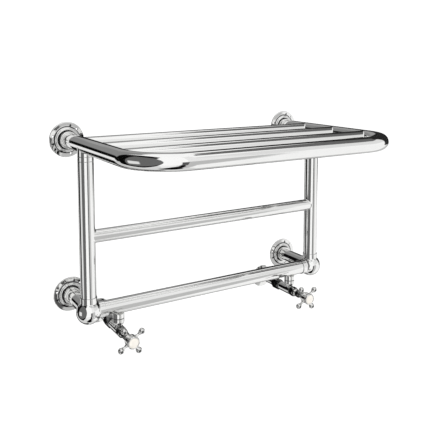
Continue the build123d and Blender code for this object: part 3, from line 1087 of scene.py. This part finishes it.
@dataclass
class CornerBall:
    """A ball fitting with three sockets, and the arm from it back to the wall.

    Attributes:
        layout: The rail's main lines.
        side: The end of the rail.
        ball_r: The ball's radius.
        socket_reach: Distance of a socket's mouth from the ball's centre.
        socket_wall: How far a socket stands proud of its tube.
        mouth_depth: Depth of the shadow gap round the tube at the mouth.
    """

    layout: Layout
    side: Side
    ball_r: float = 30.5
    socket_reach: float = 37.0
    socket_wall: float = 1.5
    mouth_depth: float = 1.4

    def socket(self, tube_r: float) -> Outline:
        """Draw one socket, whose foot melts into the ball.

        Args:
            tube_r: Radius of the tube that it takes.

        Returns:
            Its outline.
        """
        outer = tube_r + self.socket_wall
        foot = math.sqrt(self.ball_r**2 - outer**2)
        return [
            (0, foot - 4), (outer + 1.5, foot - 2.6), (outer, foot + 0.4, 1.2),
            (outer, self.socket_reach, 0.5), (tube_r + 0.9, self.socket_reach, 0.2),
            (tube_r + 0.8, self.socket_reach - 0.5),
            (tube_r + 0.1, self.socket_reach - self.mouth_depth),
            (0, self.socket_reach - self.mouth_depth),
        ]

    def mouth_film(self, centre: Vector) -> PaintedShade:
        """Say where shade is painted in the shadow gaps round the tubes.

        Args:
            centre: The ball's centre.

        Returns:
            The painted shade at a point.
        """
        start = self.socket_reach - self.mouth_depth - 0.1

        def film(point: Vector) -> float:
            """Paint full shade inside a socket's mouth.

            Args:
                point: A point of the fitting, in millimetres.

            Returns:
                How much shade is painted there.
            """
            away = point - centre
            reach = max(away.z, -self.side.value * away.x, away.y)
            across = math.sqrt(max(0.0, away.length_squared - reach**2))
            limit = self.layout.arm_r if away.y == reach else self.layout.tube_r
            return 1.0 if reach > start and across < limit + 0.95 else 0.0

        return film

    def build(self) -> None:
        """Build the ball and its arm."""
        lay = self.layout
        x = self.side.value * lay.post_x
        centre = Matrix.Translation((x, -lay.standoff, 0))
        inward = Matrix.Rotation(-self.side.value * QUARTER_TURN, 4, "Y")
        to_wall = Matrix.Rotation(-QUARTER_TURN, 4, "X")
        ball = Workpiece().sphere(self.ball_r, centre @ inward, 64)
        ball.turned(self.socket(lay.tube_r), centre, TUBE_STEPS)
        ball.turned(self.socket(lay.tube_r), centre @ inward, TUBE_STEPS)
        ball.turned(self.socket(lay.arm_r), centre @ to_wall, TUBE_STEPS)
        ball.finish(
            f"ball_fitting_{self.side.tag}",
            "rail",
            [f"corner_ball_{self.side.tag}"],
            Slot.RAIL,
            self.mouth_film(Vector((x, -lay.standoff, 0))),
        )
        low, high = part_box(f"lower_arm_{self.side.tag}")
        r = lay.arm_r
        outline = [(0, -high.y / MM), (r, -high.y / MM), (r, -low.y / MM), (0, -low.y / MM)]
        arm = Workpiece().turned(outline, from_wall(x, 0), TUBE_STEPS)
        arm.finish(f"wall_arm_{self.side.tag}", "rail", [f"lower_arm_{self.side.tag}"], Slot.RAIL)


# Wall flanges


@dataclass
class WallFlange:
    """A stepped wall flange with a bead, three screw holes and a boss round the arm.

    Attributes:
        x: Place along the wall.
        z: Height on the wall.
        arm_r: Radius of the arm in it.
        name: Its level and side, as in the node names.
    """

    x: float
    z: float
    arm_r: float
    name: str

    OUTER_R = 45.0
    STEP_R = 34.0
    BEAD_R = 27.0
    BEAD_SECTION_R = 2.6
    LAND = 6.5
    BOSS_TOP = 21.0
    BOSS_MOUTH = 20.2
    RECESS_R = 24.0
    BOSS_R = 22.2
    HOLE_R = 2.75
    HOLE_CIRCLE_R = 37.0
    HOLE_ANGLES = (45.0, 165.0, 285.0)

    def plate(self) -> Workpiece:
        """Turn the flange plate with its edge, cove, land, bead seat and recess.

        Returns:
            The plate, lying on its back.
        """
        return Workpiece().turned(
            [
                (0, 0), (self.OUTER_R - 0.4, 0, 0.2), (self.OUTER_R, 0.5),
                (self.OUTER_R, 3.2, 1.1), (42.5, 3.38), (40.0, 3.56), (38.0, 3.7), (36.0, 3.85),
                (self.STEP_R, 4.0, 1.9), (30.6, self.LAND, 0.5), (self.BEAD_R, 6.4),
                (self.RECESS_R + 0.2, self.LAND, 0.4), (self.RECESS_R, 5.0), (0, 5.0),
            ],
            Matrix(),
            FLANGE_STEPS,
        )

    def bead(self) -> Outline:
        """Draw the bead, a half-round ring that stands on the land.

        Returns:
            Its outline.
        """
        r = self.BEAD_SECTION_R
        return [
            (self.BEAD_R + r * math.cos(turn), self.LAND + r * math.sin(turn))
            for turn in (FULL_TURN * step / 24 for step in range(24))
        ]

    def holes(self) -> list[Workpiece]:
        """Make cutters for the screw holes, each with a small countersink.

        Returns:
            The cutters.
        """
        wide = self.HOLE_R + 1.6
        outline = [(0, -1), (self.HOLE_R, -1), (self.HOLE_R, 2.6), (wide, 4.4), (wide, 6), (0, 6)]
        cutters = []
        for angle in self.HOLE_ANGLES:
            turn = math.radians(angle)
            spot = Vector((math.cos(turn), math.sin(turn), 0)) * self.HOLE_CIRCLE_R
            cutters.append(Workpiece().turned(outline, Matrix.Translation(spot), 48))
        return cutters

    def cove_film(self, point: Vector) -> float:
        """Paint shade into the cove, the recess and the screw holes.

        Args:
            point: A point of the flange, in millimetres.

        Returns:
            How much shade is painted there.
        """
        away = Vector((point.x - self.x, point.z - self.z))
        radius = away.length
        for angle in self.HOLE_ANGLES:
            turn = math.radians(angle)
            hole = Vector((math.cos(turn), -math.sin(turn))) * self.HOLE_CIRCLE_R
            if (away - hole).length < self.HOLE_R + 0.4:
                return 1.0
        if point.y < -6.45 or point.y > -3.0:
            return 0.0
        if radius < self.RECESS_R + 0.1:
            return 1.0
        return 0.9 if 31.5 < radius < 35.2 else 0.0

    def build(self) -> None:
        """Build the flange and its boss."""
        place = from_wall(self.x, self.z)
        mesh = cut_away(self.plate(), self.holes())
        shell = bmesh.new()
        shell.from_mesh(mesh)
        bpy.data.meshes.remove(mesh)
        flange = Workpiece().take(shell, place).turned(self.bead(), place, FLANGE_STEPS)
        flange.finish(
            f"flange_plate_{self.name}",
            "rail",
            [f"wall_flange_{self.name}"],
            Slot.FLANGE,
            self.cove_film,
        )
        boss = Workpiece().turned(
            [
                (0, 5.0), (self.BOSS_R, 5.0), (self.BOSS_R, self.BOSS_TOP, 1.4),
                (self.arm_r + 0.7, self.BOSS_TOP, 0.3), (self.arm_r + 0.1, self.BOSS_MOUTH),
                (0, self.BOSS_MOUTH),
            ],
            place,
            TUBE_STEPS,
        )
        boss.finish(f"boss_{self.name}", "rail", [f"flange_boss_{self.name}"], Slot.FLANGE)


# Angle valves


@dataclass
class AngleValve:
    """One angle valve with its tail to the lower bar, its inlet and its headwork.

    Attributes:
        layout: The rail's main lines.
        side: The end of the rail.
        body_r: Radius of the valve's body.
    """

    layout: Layout
    side: Side
    body_r: float = 12.8

    SEAMS = (97.6, 99.0, 152.8, 155.6, 169.6, 178.6, 191.2)
    COLLAR_SEAMS = (31.6, 48.2)
    NECK_R = 10.2
    NECK_FILLET = 2.0
    NECK_SINK = 0.4

    @property
    def place(self) -> Matrix:
        """The valve's place, with local +Z along the spindle."""
        return from_wall(self.side.value * self.layout.valve_x, self.layout.valve_z)

    @property
    def tail_place(self) -> Matrix:
        """The tail's place, with local +Z down from the lower bar's axis.

        Returns:
            The place.
        """
        x = self.side.value * self.layout.valve_x
        down = Matrix.Rotation(math.pi, 4, "X")
        return Matrix.Translation((x, -self.layout.standoff, 0)) @ down

    def seam_film(self, point: Vector) -> float:
        """Paint shade into the seams between nuts, body and bonnet, and at the collar's ends.

        Args:
            point: A point of the valve, in millimetres.

        Returns:
            How much shade is painted there.
        """
        if abs(point.z - self.layout.valve_z) < 15:
            gap = min(abs(-point.y - seam) for seam in self.SEAMS)
            return 0.85 if gap < 1.3 else 0.0
        gap = min(abs(-point.z - seam) for seam in self.COLLAR_SEAMS)
        return 0.85 if gap < 0.9 else 0.0

    def save(self, work: Workpiece, name: str, node: str) -> None:
        """Finish one chromed valve piece.

        Args:
            work: The piece.
            name: Its name, without the side.
            node: The CAD node that it stands for, without the side.
        """
        tag = self.side.tag
        nodes = [f"{node}_{tag}"]
        work.finish(f"{name}_{tag}", "rail", nodes, Slot.VALVE, self.seam_film)

    def inlet(self) -> None:
        """Build the wall rose over the pipe, and the inlet nut."""
        rose = Workpiece().turned(
            [
                (7.7, 0), (33.0, 0), (33.0, 2.0, 0.8), (27.0, 4.0), (18.5, 7.4),
                (14.5, 10.2, 3.0), (10.9, 18.0, 3.0), (10.5, 24.0), (10.5, 69.7, 0.4),
                (7.7, 69.7),
            ],
            self.place,
        )
        self.save(rose, "rose_bell", "wall_rose")
        nut = Workpiece().hexagon(27.0, 70.0, 98.0, self.place)
        nut.turned([(0, 97.0), (12.2, 97.0), (12.2, 98.4, 0.3), (0, 98.4)], self.place)
        self.save(nut, "union_nut", "inlet_nut")

    def body(self) -> None:
        """Build the pressed body, whose branch rises to the tail."""
        drop = -self.layout.valve_z
        body = Workpiece().turned(
            [
                (0, 98.5), (self.body_r - 1.3, 98.5, 0.3), (self.body_r - 0.8, 101.0, 0.6),
                (self.body_r, 104.0, 1.5), (self.body_r, 151.0, 1.0),
                (self.body_r - 0.7, 152.0, 0.4), (self.body_r - 0.7, 153.2, 0.3),
                (self.body_r, 154.0, 0.3), (self.body_r, 155.0, 0.3), (0, 155.0),
            ],
            self.place,
        )

        def foot(share: float) -> Ring:
            """Make one ring of the branch's foot.

            Args:
                share: 0 where the fillet lies on the body, and 1 where it starts.

            Returns:
                The ring.
            """

            def ring(angle: float) -> tuple[float, float]:
                """Follow the fillet.

                Args:
                    angle: Angle round the branch.

                Returns:
                    Radius and drop at that angle.
                """
                bend = share * QUARTER_TURN
                grown = self.NECK_R + self.NECK_FILLET * (1 - math.sin(bend))
                rise = math.sqrt(self.body_r**2 - (grown * math.cos(angle)) ** 2)
                sink = self.NECK_SINK * (1 - share)
                return grown, drop - rise - self.NECK_FILLET * (1 - math.cos(bend)) + sink

            return ring

        rings: list[Ring] = [lambda angle: (self.NECK_R, 30.0)]
        rings += [foot(step / 6) for step in range(6, -1, -1)]
        body.lofted(rings, self.tail_place, 96)
        self.save(body, "pressed_body", "valve_body")

    def tail(self) -> None:
        """Build the collar that joins the body to the socket under the bar."""
        collar = Workpiece().turned(
            [
                (0, 31.6), (13.6, 31.6), (14.5, 32.4, 0.3), (14.5, 41.0, 1.2), (13.2, 43.6, 1.2),
                (11.6, 46.2, 1.0), (11.5, 48.2, 0.3), (0, 48.2),
            ],
            self.tail_place,
        )
        self.save(collar, "tail_ring", "tail_collar")

    def headwork(self) -> None:
        """Build the hexagon bonnet with its dome, and the gland nut."""
        bonnet = Workpiece().hexagon(24.0, 155.2, 169.0, self.place)
        bonnet.turned(
            [
                (0, 168.0), (10.5, 168.0), (10.5, 171.0, 1.5), (9.3, 175.5, 2.0),
                (8.6, 178.0, 0.5), (7.6, 178.3, 0.2), (7.6, 186.0), (0, 186.0),
            ],
            self.place,
        )
        self.save(bonnet, "hexagon_bonnet", "bonnet")
        nut = Workpiece().hexagon(18.0, 179.0, 190.6, self.place)
        nut.turned(
            [(0, 189.5), (7.6, 189.5), (7.6, 191.0, 0.6), (5.4, 192.0, 0.3), (0, 192.0)],
            self.place,
        )
        self.save(nut, "cap_gland_nut", "gland_nut")

    def build(self) -> None:
        """Build the whole valve."""
        self.inlet()
        self.body()
        self.tail()
        self.headwork()


@dataclass
class BarSockets:
    """The two sockets brazed under the lower bar, one above each valve.

    Attributes:
        layout: The rail's main lines.
        socket_r: Radius of a socket.
        length: Distance of its mouth below the bar's axis.
    """

    layout: Layout
    socket_r: float = 14.5
    length: float = 31.0

    EASE = 0.7
    SPIGOT_R = 11.0
    SPIGOT_LENGTH = 0.8

    def build(self) -> None:
        """Build both sockets, each with a soft fillet onto the bar."""
        lay = self.layout
        top = saddled_bar(self.socket_r, 0.0, lay.tube_r, 2.0, QUARTER_TURN)

        def below(ring: Ring) -> Ring:
            """The same ring, measured down from the bar's axis."""
            return lambda angle: (ring(angle)[0], abs(ring(angle)[1]))

        rows = [below(ring) for ring in top[: len(top) // 2]]
        rows += [
            lambda angle: (self.socket_r, self.length - self.EASE),
            lambda angle: (self.socket_r - self.EASE, self.length),
            lambda angle: (self.SPIGOT_R, self.length),
            lambda angle: (self.SPIGOT_R, self.length + self.SPIGOT_LENGTH),
        ]
        work = Workpiece()
        for side in Side:
            down = Matrix.Rotation(math.pi, 4, "X")
            place = Matrix.Translation((side.value * lay.valve_x, -lay.standoff, 0)) @ down
            work.lofted(rows, place, 96)
        work.finish("bar_socket_pair", "rail", ["bar_sockets"], Slot.RAIL)


# Crosshead handles


@dataclass
class Crosshead:
    """A four-armed handle with ball ends and a porcelain button in a chromed ring.

    Attributes:
        layout: The rail's main lines.
        side: The end of the rail.
        arm_plane: Distance of the arms from the wall.
        arm_reach: Distance of the ball ends from the spindle.
        ball_r: Radius of the ball ends.
        first_arm: Angle of the first arm, in degrees.
    """

    layout: Layout
    side: Side
    arm_plane: float = 220.0
    arm_reach: float = 33.0
    ball_r: float = 7.5
    first_arm: float = 35.0

    GROOVE = (226.6, 227.8)
    BUTTON_R = 12.0
    BUTTON_CROWN = 2.4
    BUTTON_FOOT = 232.1
    BUTTON_TOP = 237.6
    DOME_STEPS = 12

    @property
    def place(self) -> Matrix:
        """The handle's place, with local +Z along the spindle."""
        return from_wall(self.side.value * self.layout.valve_x, self.layout.valve_z)

    def groove_film(self, point: Vector) -> float:
        """Painted shade in the groove round the hub."""
        return 0.85 if self.GROOVE[0] < -point.y < self.GROOVE[1] else 0.0

    def hub(self) -> Workpiece:
        """Turn the bell-shaped hub.

        Returns:
            The hub, in place.
        """
        return Workpiece().turned(
            [
                (0, 198.0), (7.0, 198.0, 0.5), (7.4, 201.5, 2.0), (9.8, 205.0, 2.5),
                (13.9, 210.4, 2.5), (14.8, 213.5, 1.0), (14.8, 226.2, 0.4), (14.0, 226.8, 0.3),
                (14.0, 227.6, 0.3), (14.8, 228.2, 0.4), (14.8, 230.0, 0.3), (0, 230.0),
            ],
            self.place,
        )

    def arm(self) -> Outline:
        """Draw one arm: a root ring, a waist and a neck that swells to the ball.

        Returns:
            Its outline.
        """
        return [
            (0, 10.0), (5.2, 12.5), (5.2, 15.4, 0.4), (4.2, 16.0, 0.3), (3.2, 19.5, 2.0),
            (3.2, 22.0, 2.0), (4.2, 25.6, 1.0), (5.0, 26.8, 0.4), (0, 29.0),
        ]

    def handle(self) -> None:
        """Build the hub with its four arms and their balls."""
        tag = self.side.tag
        handle = self.hub()
        for number in range(4):
            turn = math.radians(self.first_arm + 90 * number)
            out = (
                self.place
                @ Matrix.Translation((0, 0, self.arm_plane))
                @ Matrix.Rotation(turn, 4, "Z")
                @ Matrix.Rotation(QUARTER_TURN, 4, "Y")
            )
            handle.turned(self.arm(), out, 48)
            handle.sphere(self.ball_r, out @ Matrix.Translation((0, 0, self.arm_reach)), 24)
        nodes = [f"crosshead_{tag}"]
        handle.finish(f"four_arm_handle_{tag}", nodes[0], nodes, Slot.HANDLE, self.groove_film)

    def button_ring(self) -> None:
        """Turn the chromed ring round the button."""
        tag = self.side.tag
        ring = Workpiece().turned(
            [
                (12.1, 230.2), (15.0, 230.2, 0.3), (15.5, 231.4, 0.6), (15.5, 234.2, 1.2),
                (14.0, 236.0, 0.8), (12.9, 236.0, 0.4), (12.1, 235.0),
            ],
            self.place,
        )
        nodes = [f"button_bezel_{tag}"]
        ring.finish(f"button_ring_{tag}", f"crosshead_{tag}", nodes, Slot.HANDLE)

    def button(self) -> None:
        """Cast the domed button."""
        tag = self.side.tag
        ball = (self.BUTTON_R**2 + self.BUTTON_CROWN**2) / (2 * self.BUTTON_CROWN)
        half = math.asin(self.BUTTON_R / ball)
        turns = [half * step / self.DOME_STEPS for step in range(self.DOME_STEPS + 1)]
        dome = [
            (ball * math.sin(turn), self.BUTTON_TOP - ball * (1 - math.cos(turn)))
            for turn in turns
        ]
        edge = [(self.BUTTON_R, self.BUTTON_FOOT, 0.3), (0, self.BUTTON_FOOT)]
        button = Workpiece().turned([*dome, *edge], self.place)
        nodes = [f"porcelain_button_{tag}"]
        button.finish(f"ivory_button_{tag}", f"crosshead_{tag}", nodes, Slot.PORCELAIN)

    def build(self) -> None:
        """Build the handle, its ring and its button."""
        self.handle()
        self.button_ring()
        self.button()


# CAD pieces that stay


@dataclass
class KeptPieces:
    """The CAD nodes that are shown as they are, each in the finish of its slot."""

    frame: dict[str, Any]

    def dress(self) -> None:
        """Give every shown CAD node its finish."""
        slots = {part["node"]: part["material_slot"] for part in self.frame["record"]["subparts"]}
        for name, node in sorted(self.frame["nodes"].items()):
            if node.hide_render:
                continue
            node.data.materials.clear()
            node.data.materials.append(material_for(Slot(slots[name])))
            log.info("%s: kept, in %s", name, slots[name])


# Studio


def glow(level: int) -> tuple[float, float, float, float]:
    """Linear light that a chromed surface shows as an sRGB grey level from 0 to 255."""
    shown = linear(f"{level:02x}" * 3)[0] / CHROME_RETURN
    return (shown, shown, shown, 1.0)


@dataclass(frozen=True)
class Card:
    """A softbox, grey flat or black flag that stands round the rail and shows in its chrome.

    Attributes:
        name: The card's name.
        compass: From and to, in degrees. 0 faces the room and 90 is +X.
        height: From and to, in degrees above the horizon.
        level: The grey level that chrome shows where it mirrors the card.
        distance: How far out it stands, in metres. A nearer card hides a farther one.
    """

    name: str
    compass: tuple[float, float]
    height: tuple[float, float]
    level: int
    distance: float


@dataclass(frozen=True)
class Flat:
    """A flat of any outline that stands beside the rail or lies under it.

    Attributes:
        name: The flat's name.
        stands: Whether it stands at the left, or else lies below.
        corners: Its corners in its own plane, as shares of its distance: (y, z) or (x, y).
        level: The grey level that chrome shows where it mirrors the flat.
        distance: How far out it is, in metres.
    """

    name: str
    stands: bool
    corners: tuple[tuple[float, float], ...]
    level: int
    distance: float


CARDS = (
    Card("back_wall_left", (-184, -146), (8, 62), 132, 40),
    Card("back_wall_right", (138, 184), (12, 58), 152, 40),
    Card("back_wall_shade", (122, 150), (10, 40), 72, 39),
    Card("behind_dark", (114, 178), (-40, 17), 26, 39),
    Card("behind_low", (156, 192), (-44, -6), 18, 33.3),
    Card("skirting_left", (-168, -138), (-72, -14), 200, 38),
    Card("skirting_dark", (-196, -162), (-80, -14), 12, 33.2),
    Card("key_softbox", (-56, 15), (-32, 76), 252, 38.5),
    Card("floor_light_left", (-48, -10), (-60, -26), 240, 38.5),
    Card("centre_flat", (10, 38), (-66, 6), 188, 35),
    Card("centre_fill", (10, 38), (3, 62), 234, 34.8),
    Card("centre_post", (-2, 13), (-34, 3), 84, 34),
    Card("side_softbox", (35, 103), (-64, 14), 245, 35),
    Card("side_fill", (34, 88), (10, 44), 222, 34.5),
    Card("upper_flat_right", (58, 118), (36, 63), 100, 33.9),
    Card("dark_flag_right", (87, 145), (-13, 45), 38, 33.8),
    Card("floor_light_right", (100, 132), (-62, -9), 190, 33.5),
    Card("floor_back", (128, 160), (-62, -36), 160, 33.5),
)

FLATS = (
    Flat(
        "black_flat",
        True,
        (
            (5.0, -0.3), (5.0, 1.4), (1.9, 1.3), (0.9, 2.3), (0.0, 2.5), (-0.9, 2.35),
            (-1.5, 1.76), (-2.15, 1.05), (-1.62, 0.0), (-1.1, -0.55), (-0.72, -1.05),
            (0.2, -1.55), (0.52, -1.3), (1.15, -0.8), (2.2, -0.2),
        ),
        6,
        24,
    ),
    Flat(
        "grey_flat",
        True,
        (
            (0.56, -0.78), (0.56, 1.22), (-0.78, 1.37), (-1.15, 1.02), (-1.5, 0.42),
            (-1.26, -0.28), (-0.74, -0.76), (0.0, -0.96),
        ),
        101,
        23,
    ),
    Flat("window", True, ((0.42, -0.42), (0.42, 0.1), (-0.12, 0.1), (-0.12, -0.42)), 225, 22),
    Flat(
        "floor_flag",
        False,
        (
            (-0.34, -0.05), (-0.3, -0.2), (-0.32, -0.38), (-0.28, -0.68), (-0.1, -1.0),
            (-0.12, -1.9), (0.24, -1.9), (0.26, -0.98), (0.2, -0.69), (0.16, -0.46),
            (0.24, -0.2), (0.12, 0.02), (-0.2, 0.06),
        ),
        4,
        24,
    ),
)  # fmt: skip


@dataclass
class Studio:
    """A plain studio: pale floor, white surround, a soft overhead lamp and cards in the chrome.

    Attributes:
        centre: The middle of the rail, in metres.
        floor_z: Height of the floor.
        floor_r: Radius of the floor.
        mottle_mm: Size of the floor paint's mottle.
        flat_ease: Rounding of a flat's corners, as a share of its distance.
        wall_levels: Grey levels of the room, low down and high up.
        lamp_energy: Strength of the overhead lamp.
        eye: Where the camera stands.
        look_down: How far the camera looks down, in degrees.
        look_right: How far it looks to the right, in degrees.
        lens_mm: Its focal length on a 36 mm wide film.
        lens_shift: How far its frame is shifted down, as a share of the width.
    """

    centre: Vector
    floor_z: float = -1.0
    floor_r: float = 9.0
    mottle_mm: float = 1000 / 6
    flat_ease: float = 0.08
    wall_levels: tuple[int, int] = (214, 250)
    lamp_energy: float = 0.6
    eye: tuple[float, float, float] = (-0.83666, -1.56029, 0.60186)
    look_down: float = 6.16
    look_right: float = 31.19
    lens_mm: float = 51.96
    lens_shift: float = -0.2018

    def floor(self) -> None:
        """Lay the pale floor and hang the white surround that only the camera sees."""
        shell = bmesh.new()
        bmesh.ops.create_circle(shell, cap_ends=True, segments=96, radius=self.floor_r)
        bmesh.ops.translate(shell, vec=(0, 0, self.floor_z), verts=shell.verts[:])
        floor = self._stand("studio_floor", shell, self._floor_paint())
        floor.visible_glossy = False
        shell = bmesh.new()
        bmesh.ops.create_uvsphere(shell, u_segments=64, v_segments=32, radius=self.floor_r)
        surround = self._stand("studio_surround", shell, self._lit("lit_white_paper", 249))
        surround.visible_glossy = False
        surround.visible_diffuse = False

    def _stand(
        self, name: str, shell: bmesh.types.BMesh, material: bpy.types.Material
    ) -> bpy.types.Object:
        """Stand one piece of the studio in place.

        Args:
            name: Its name.
            shell: Its mesh, which is used up.
            material: Its material.

        Returns:
            The linked object.
        """
        mesh = bpy.data.meshes.new(name)
        shell.to_mesh(mesh)
        shell.free()
        mesh.materials.append(material)
        thing = bpy.data.objects.new(name, mesh)
        bpy.context.scene.collection.objects.link(thing)
        thing.visible_shadow = False
        return thing

    def _floor_paint(self) -> bpy.types.Material:
        """Make matt pale floor paint with the faint mottle of a rolled coat.

        Returns:
            The material.
        """
        material, tree = new_tree("rolled_floor_paint")
        mottle = noise(tree, self.mottle_mm, 3.0)
        inputs = {"Base Color": blend(tree, mottle, "F7F7F7", "F3F3F3"), "Roughness": 0.9}
        surface(tree, inputs)
        return material

    def _lit(self, name: str, level: int) -> bpy.types.Material:
        """Make an evenly lit surface.

        Args:
            name: The material's name.
            level: The grey level that chrome shows where it mirrors it.

        Returns:
            The material.
        """
        material, tree = new_tree(name)
        light = add_node(tree, "ShaderNodeEmission", {"Color": glow(level), "Strength": 1.0})
        add_node(tree, "ShaderNodeOutputMaterial", {"Surface": light.outputs["Emission"]})
        return material

    def _card_face(self, card: Card | Flat) -> bpy.types.Material:
        """Make an evenly lit face whose edge fades out softly.

        Args:
            card: The card or flat that gets it.

        Returns:
            The material.
        """
        material, tree = new_tree(f"{card.name}_face")
        light = add_node(tree, "ShaderNodeEmission", {"Color": glow(card.level), "Strength": 1.0})
        clear = add_node(tree, "ShaderNodeBsdfTransparent")
        fade = add_node(tree, "ShaderNodeAttribute", attribute_name=CARD_FADE).outputs["Fac"]
        both = add_node(
            tree, "ShaderNodeMixShader", {0: fade, 1: clear.outputs[0], 2: light.outputs[0]}
        )
        add_node(tree, "ShaderNodeOutputMaterial", {"Surface": both.outputs[0]})
        return material

    def card(self, card: Card) -> None:
        """Stand one card: a point swung up through its height, then round its compass.

        Args:
            card: What it is.
        """
        low, high = (math.radians(angle) for angle in card.height)
        start, end = (math.radians(angle) for angle in card.compass)
        shell = bmesh.new()
        first = shell.verts.new(
            (0, -card.distance * math.cos(low), card.distance * math.sin(low))
        )
        bmesh.ops.spin(
            shell, geom=[first], cent=(0, 0, 0), axis=(-1, 0, 0), angle=high - low, steps=12
        )
        bmesh.ops.rotate(
            shell, cent=(0, 0, 0), matrix=Matrix.Rotation(start, 3, "Z"), verts=shell.verts[:]
        )
        bmesh.ops.spin(
            shell,
            geom=shell.verts[:] + shell.edges[:],
            cent=(0, 0, 0),
            axis=(0, 0, 1),
            angle=end - start,
            steps=24,
        )
        bmesh.ops.remove_doubles(shell, verts=shell.verts[:], dist=MERGE_MM)
        self._hang(shell, card)

    def flat(self, flat: Flat) -> None:
        """Cut one flat to its outline, with its corners rounded.

        Args:
            flat: What it is.
        """
        shell = bmesh.new()
        corners = [
            shell.verts.new((-1, a, b) if flat.stands else (a, b, -1)) for a, b in flat.corners
        ]
        shell.faces.new(corners)
        eased(shell, corners, self.flat_ease, 4)
        bmesh.ops.scale(shell, vec=[flat.distance] * 3, verts=shell.verts[:])
        self._hang(shell, flat)

    def _hang(self, shell: bmesh.types.BMesh, card: Card | Flat) -> None:
        """Give a card or flat its soft edge and hang it where only the metal sees it.

        Args:
            shell: Its mesh, about the rail's middle, which is used up.
            card: What it is.
        """
        bmesh.ops.translate(shell, vec=self.centre, verts=shell.verts[:])
        edge = card.distance * math.radians(CARD_EDGE)
        bmesh.ops.inset_region(shell, faces=shell.faces[:], thickness=edge, use_boundary=True)
        layer = shell.verts.layers.float.new(CARD_FADE)
        for vertex in shell.verts:
            vertex[layer] = 0.0 if vertex.is_boundary else 1.0
        thing = self._stand(f"card_{card.name}", shell, self._card_face(card))
        thing.visible_camera = False
        thing.visible_diffuse = False

    def walls(self) -> None:
        """Light the room evenly: bright above, a little darker below."""
        world = bpy.data.worlds.new("studio_walls")
        bpy.context.scene.world = world
        world.use_nodes = True
        tree = world.node_tree
        tree.nodes.clear()
        way = add_node(tree, "ShaderNodeTexCoord").outputs["Generated"]
        parts = add_node(tree, "ShaderNodeSeparateXYZ", {0: way}).outputs
        rise = add_node(
            tree, "ShaderNodeMapRange", {"Value": parts["Z"], "From Min": -0.9, "From Max": 0.8}
        ).outputs["Result"]
        low, high = (glow(level) for level in self.wall_levels)
        light = add_node(
            tree, "ShaderNodeMix", {0: rise, 6: low, 7: high}, data_type="RGBA"
        ).outputs[2]
        back = add_node(tree, "ShaderNodeBackground", {"Color": light, "Strength": 1.0})
        add_node(tree, "ShaderNodeOutputWorld", {"Surface": back.outputs[0]})

    def lamps(self) -> None:
        """Hang the broad soft lamp that lights the floor and the porcelain."""
        lamp = bpy.data.lights.new("overhead_soft_lamp", "SUN")
        lamp.energy = self.lamp_energy
        lamp.angle = math.radians(60)
        hung = bpy.data.objects.new("overhead_soft_lamp", lamp)
        hung.rotation_euler = (math.radians(28), math.radians(-18), 0)
        hung.visible_glossy = False
        bpy.context.scene.collection.objects.link(hung)

    def camera(self) -> None:
        """Stand the camera at the left front, a little above the shelf."""
        lens = bpy.data.cameras.new("camera")
        lens.sensor_width = 36.0
        lens.lens = self.lens_mm
        lens.shift_y = self.lens_shift
        lens.clip_end = 100.0
        stand = bpy.data.objects.new("camera", lens)
        stand.location = self.eye
        tilt, turn = math.radians(90 - self.look_down), math.radians(-self.look_right)
        stand.rotation_euler = (tilt, 0, turn)
        bpy.context.scene.collection.objects.link(stand)
        bpy.context.scene.camera = stand

    def build(self) -> None:
        """Build the whole studio."""
        self.floor()
        for card in CARDS:
            self.card(card)
        for flat in FLATS:
            self.flat(flat)
        self.walls()
        self.lamps()
        self.camera()
        view = bpy.context.scene.view_settings
        view.view_transform = "Standard"
        view.look = "None"


def main() -> None:
    """Build every sub-assembly in order."""
    logging.basicConfig(level=logging.INFO, format="%(name)s: %(message)s")
    layout = Layout.measured()
    Shelf(layout).build()
    Uprights(layout).build()
    for side in Side:
        CornerBall(layout, side).build()
        x = side.value * layout.post_x
        WallFlange(x, layout.rise, layout.tube_r, f"upper_{side.tag}").build()
        WallFlange(x, 0.0, layout.arm_r, f"lower_{side.tag}").build()
        AngleValve(layout, side).build()
        Crosshead(layout, side).build()
    BarSockets(layout).build()
    KeptPieces(frame).dress()
    low, high = CAD_BOX
    Studio((low + high) / 2).build()


if __name__ == "__main__":
    main()
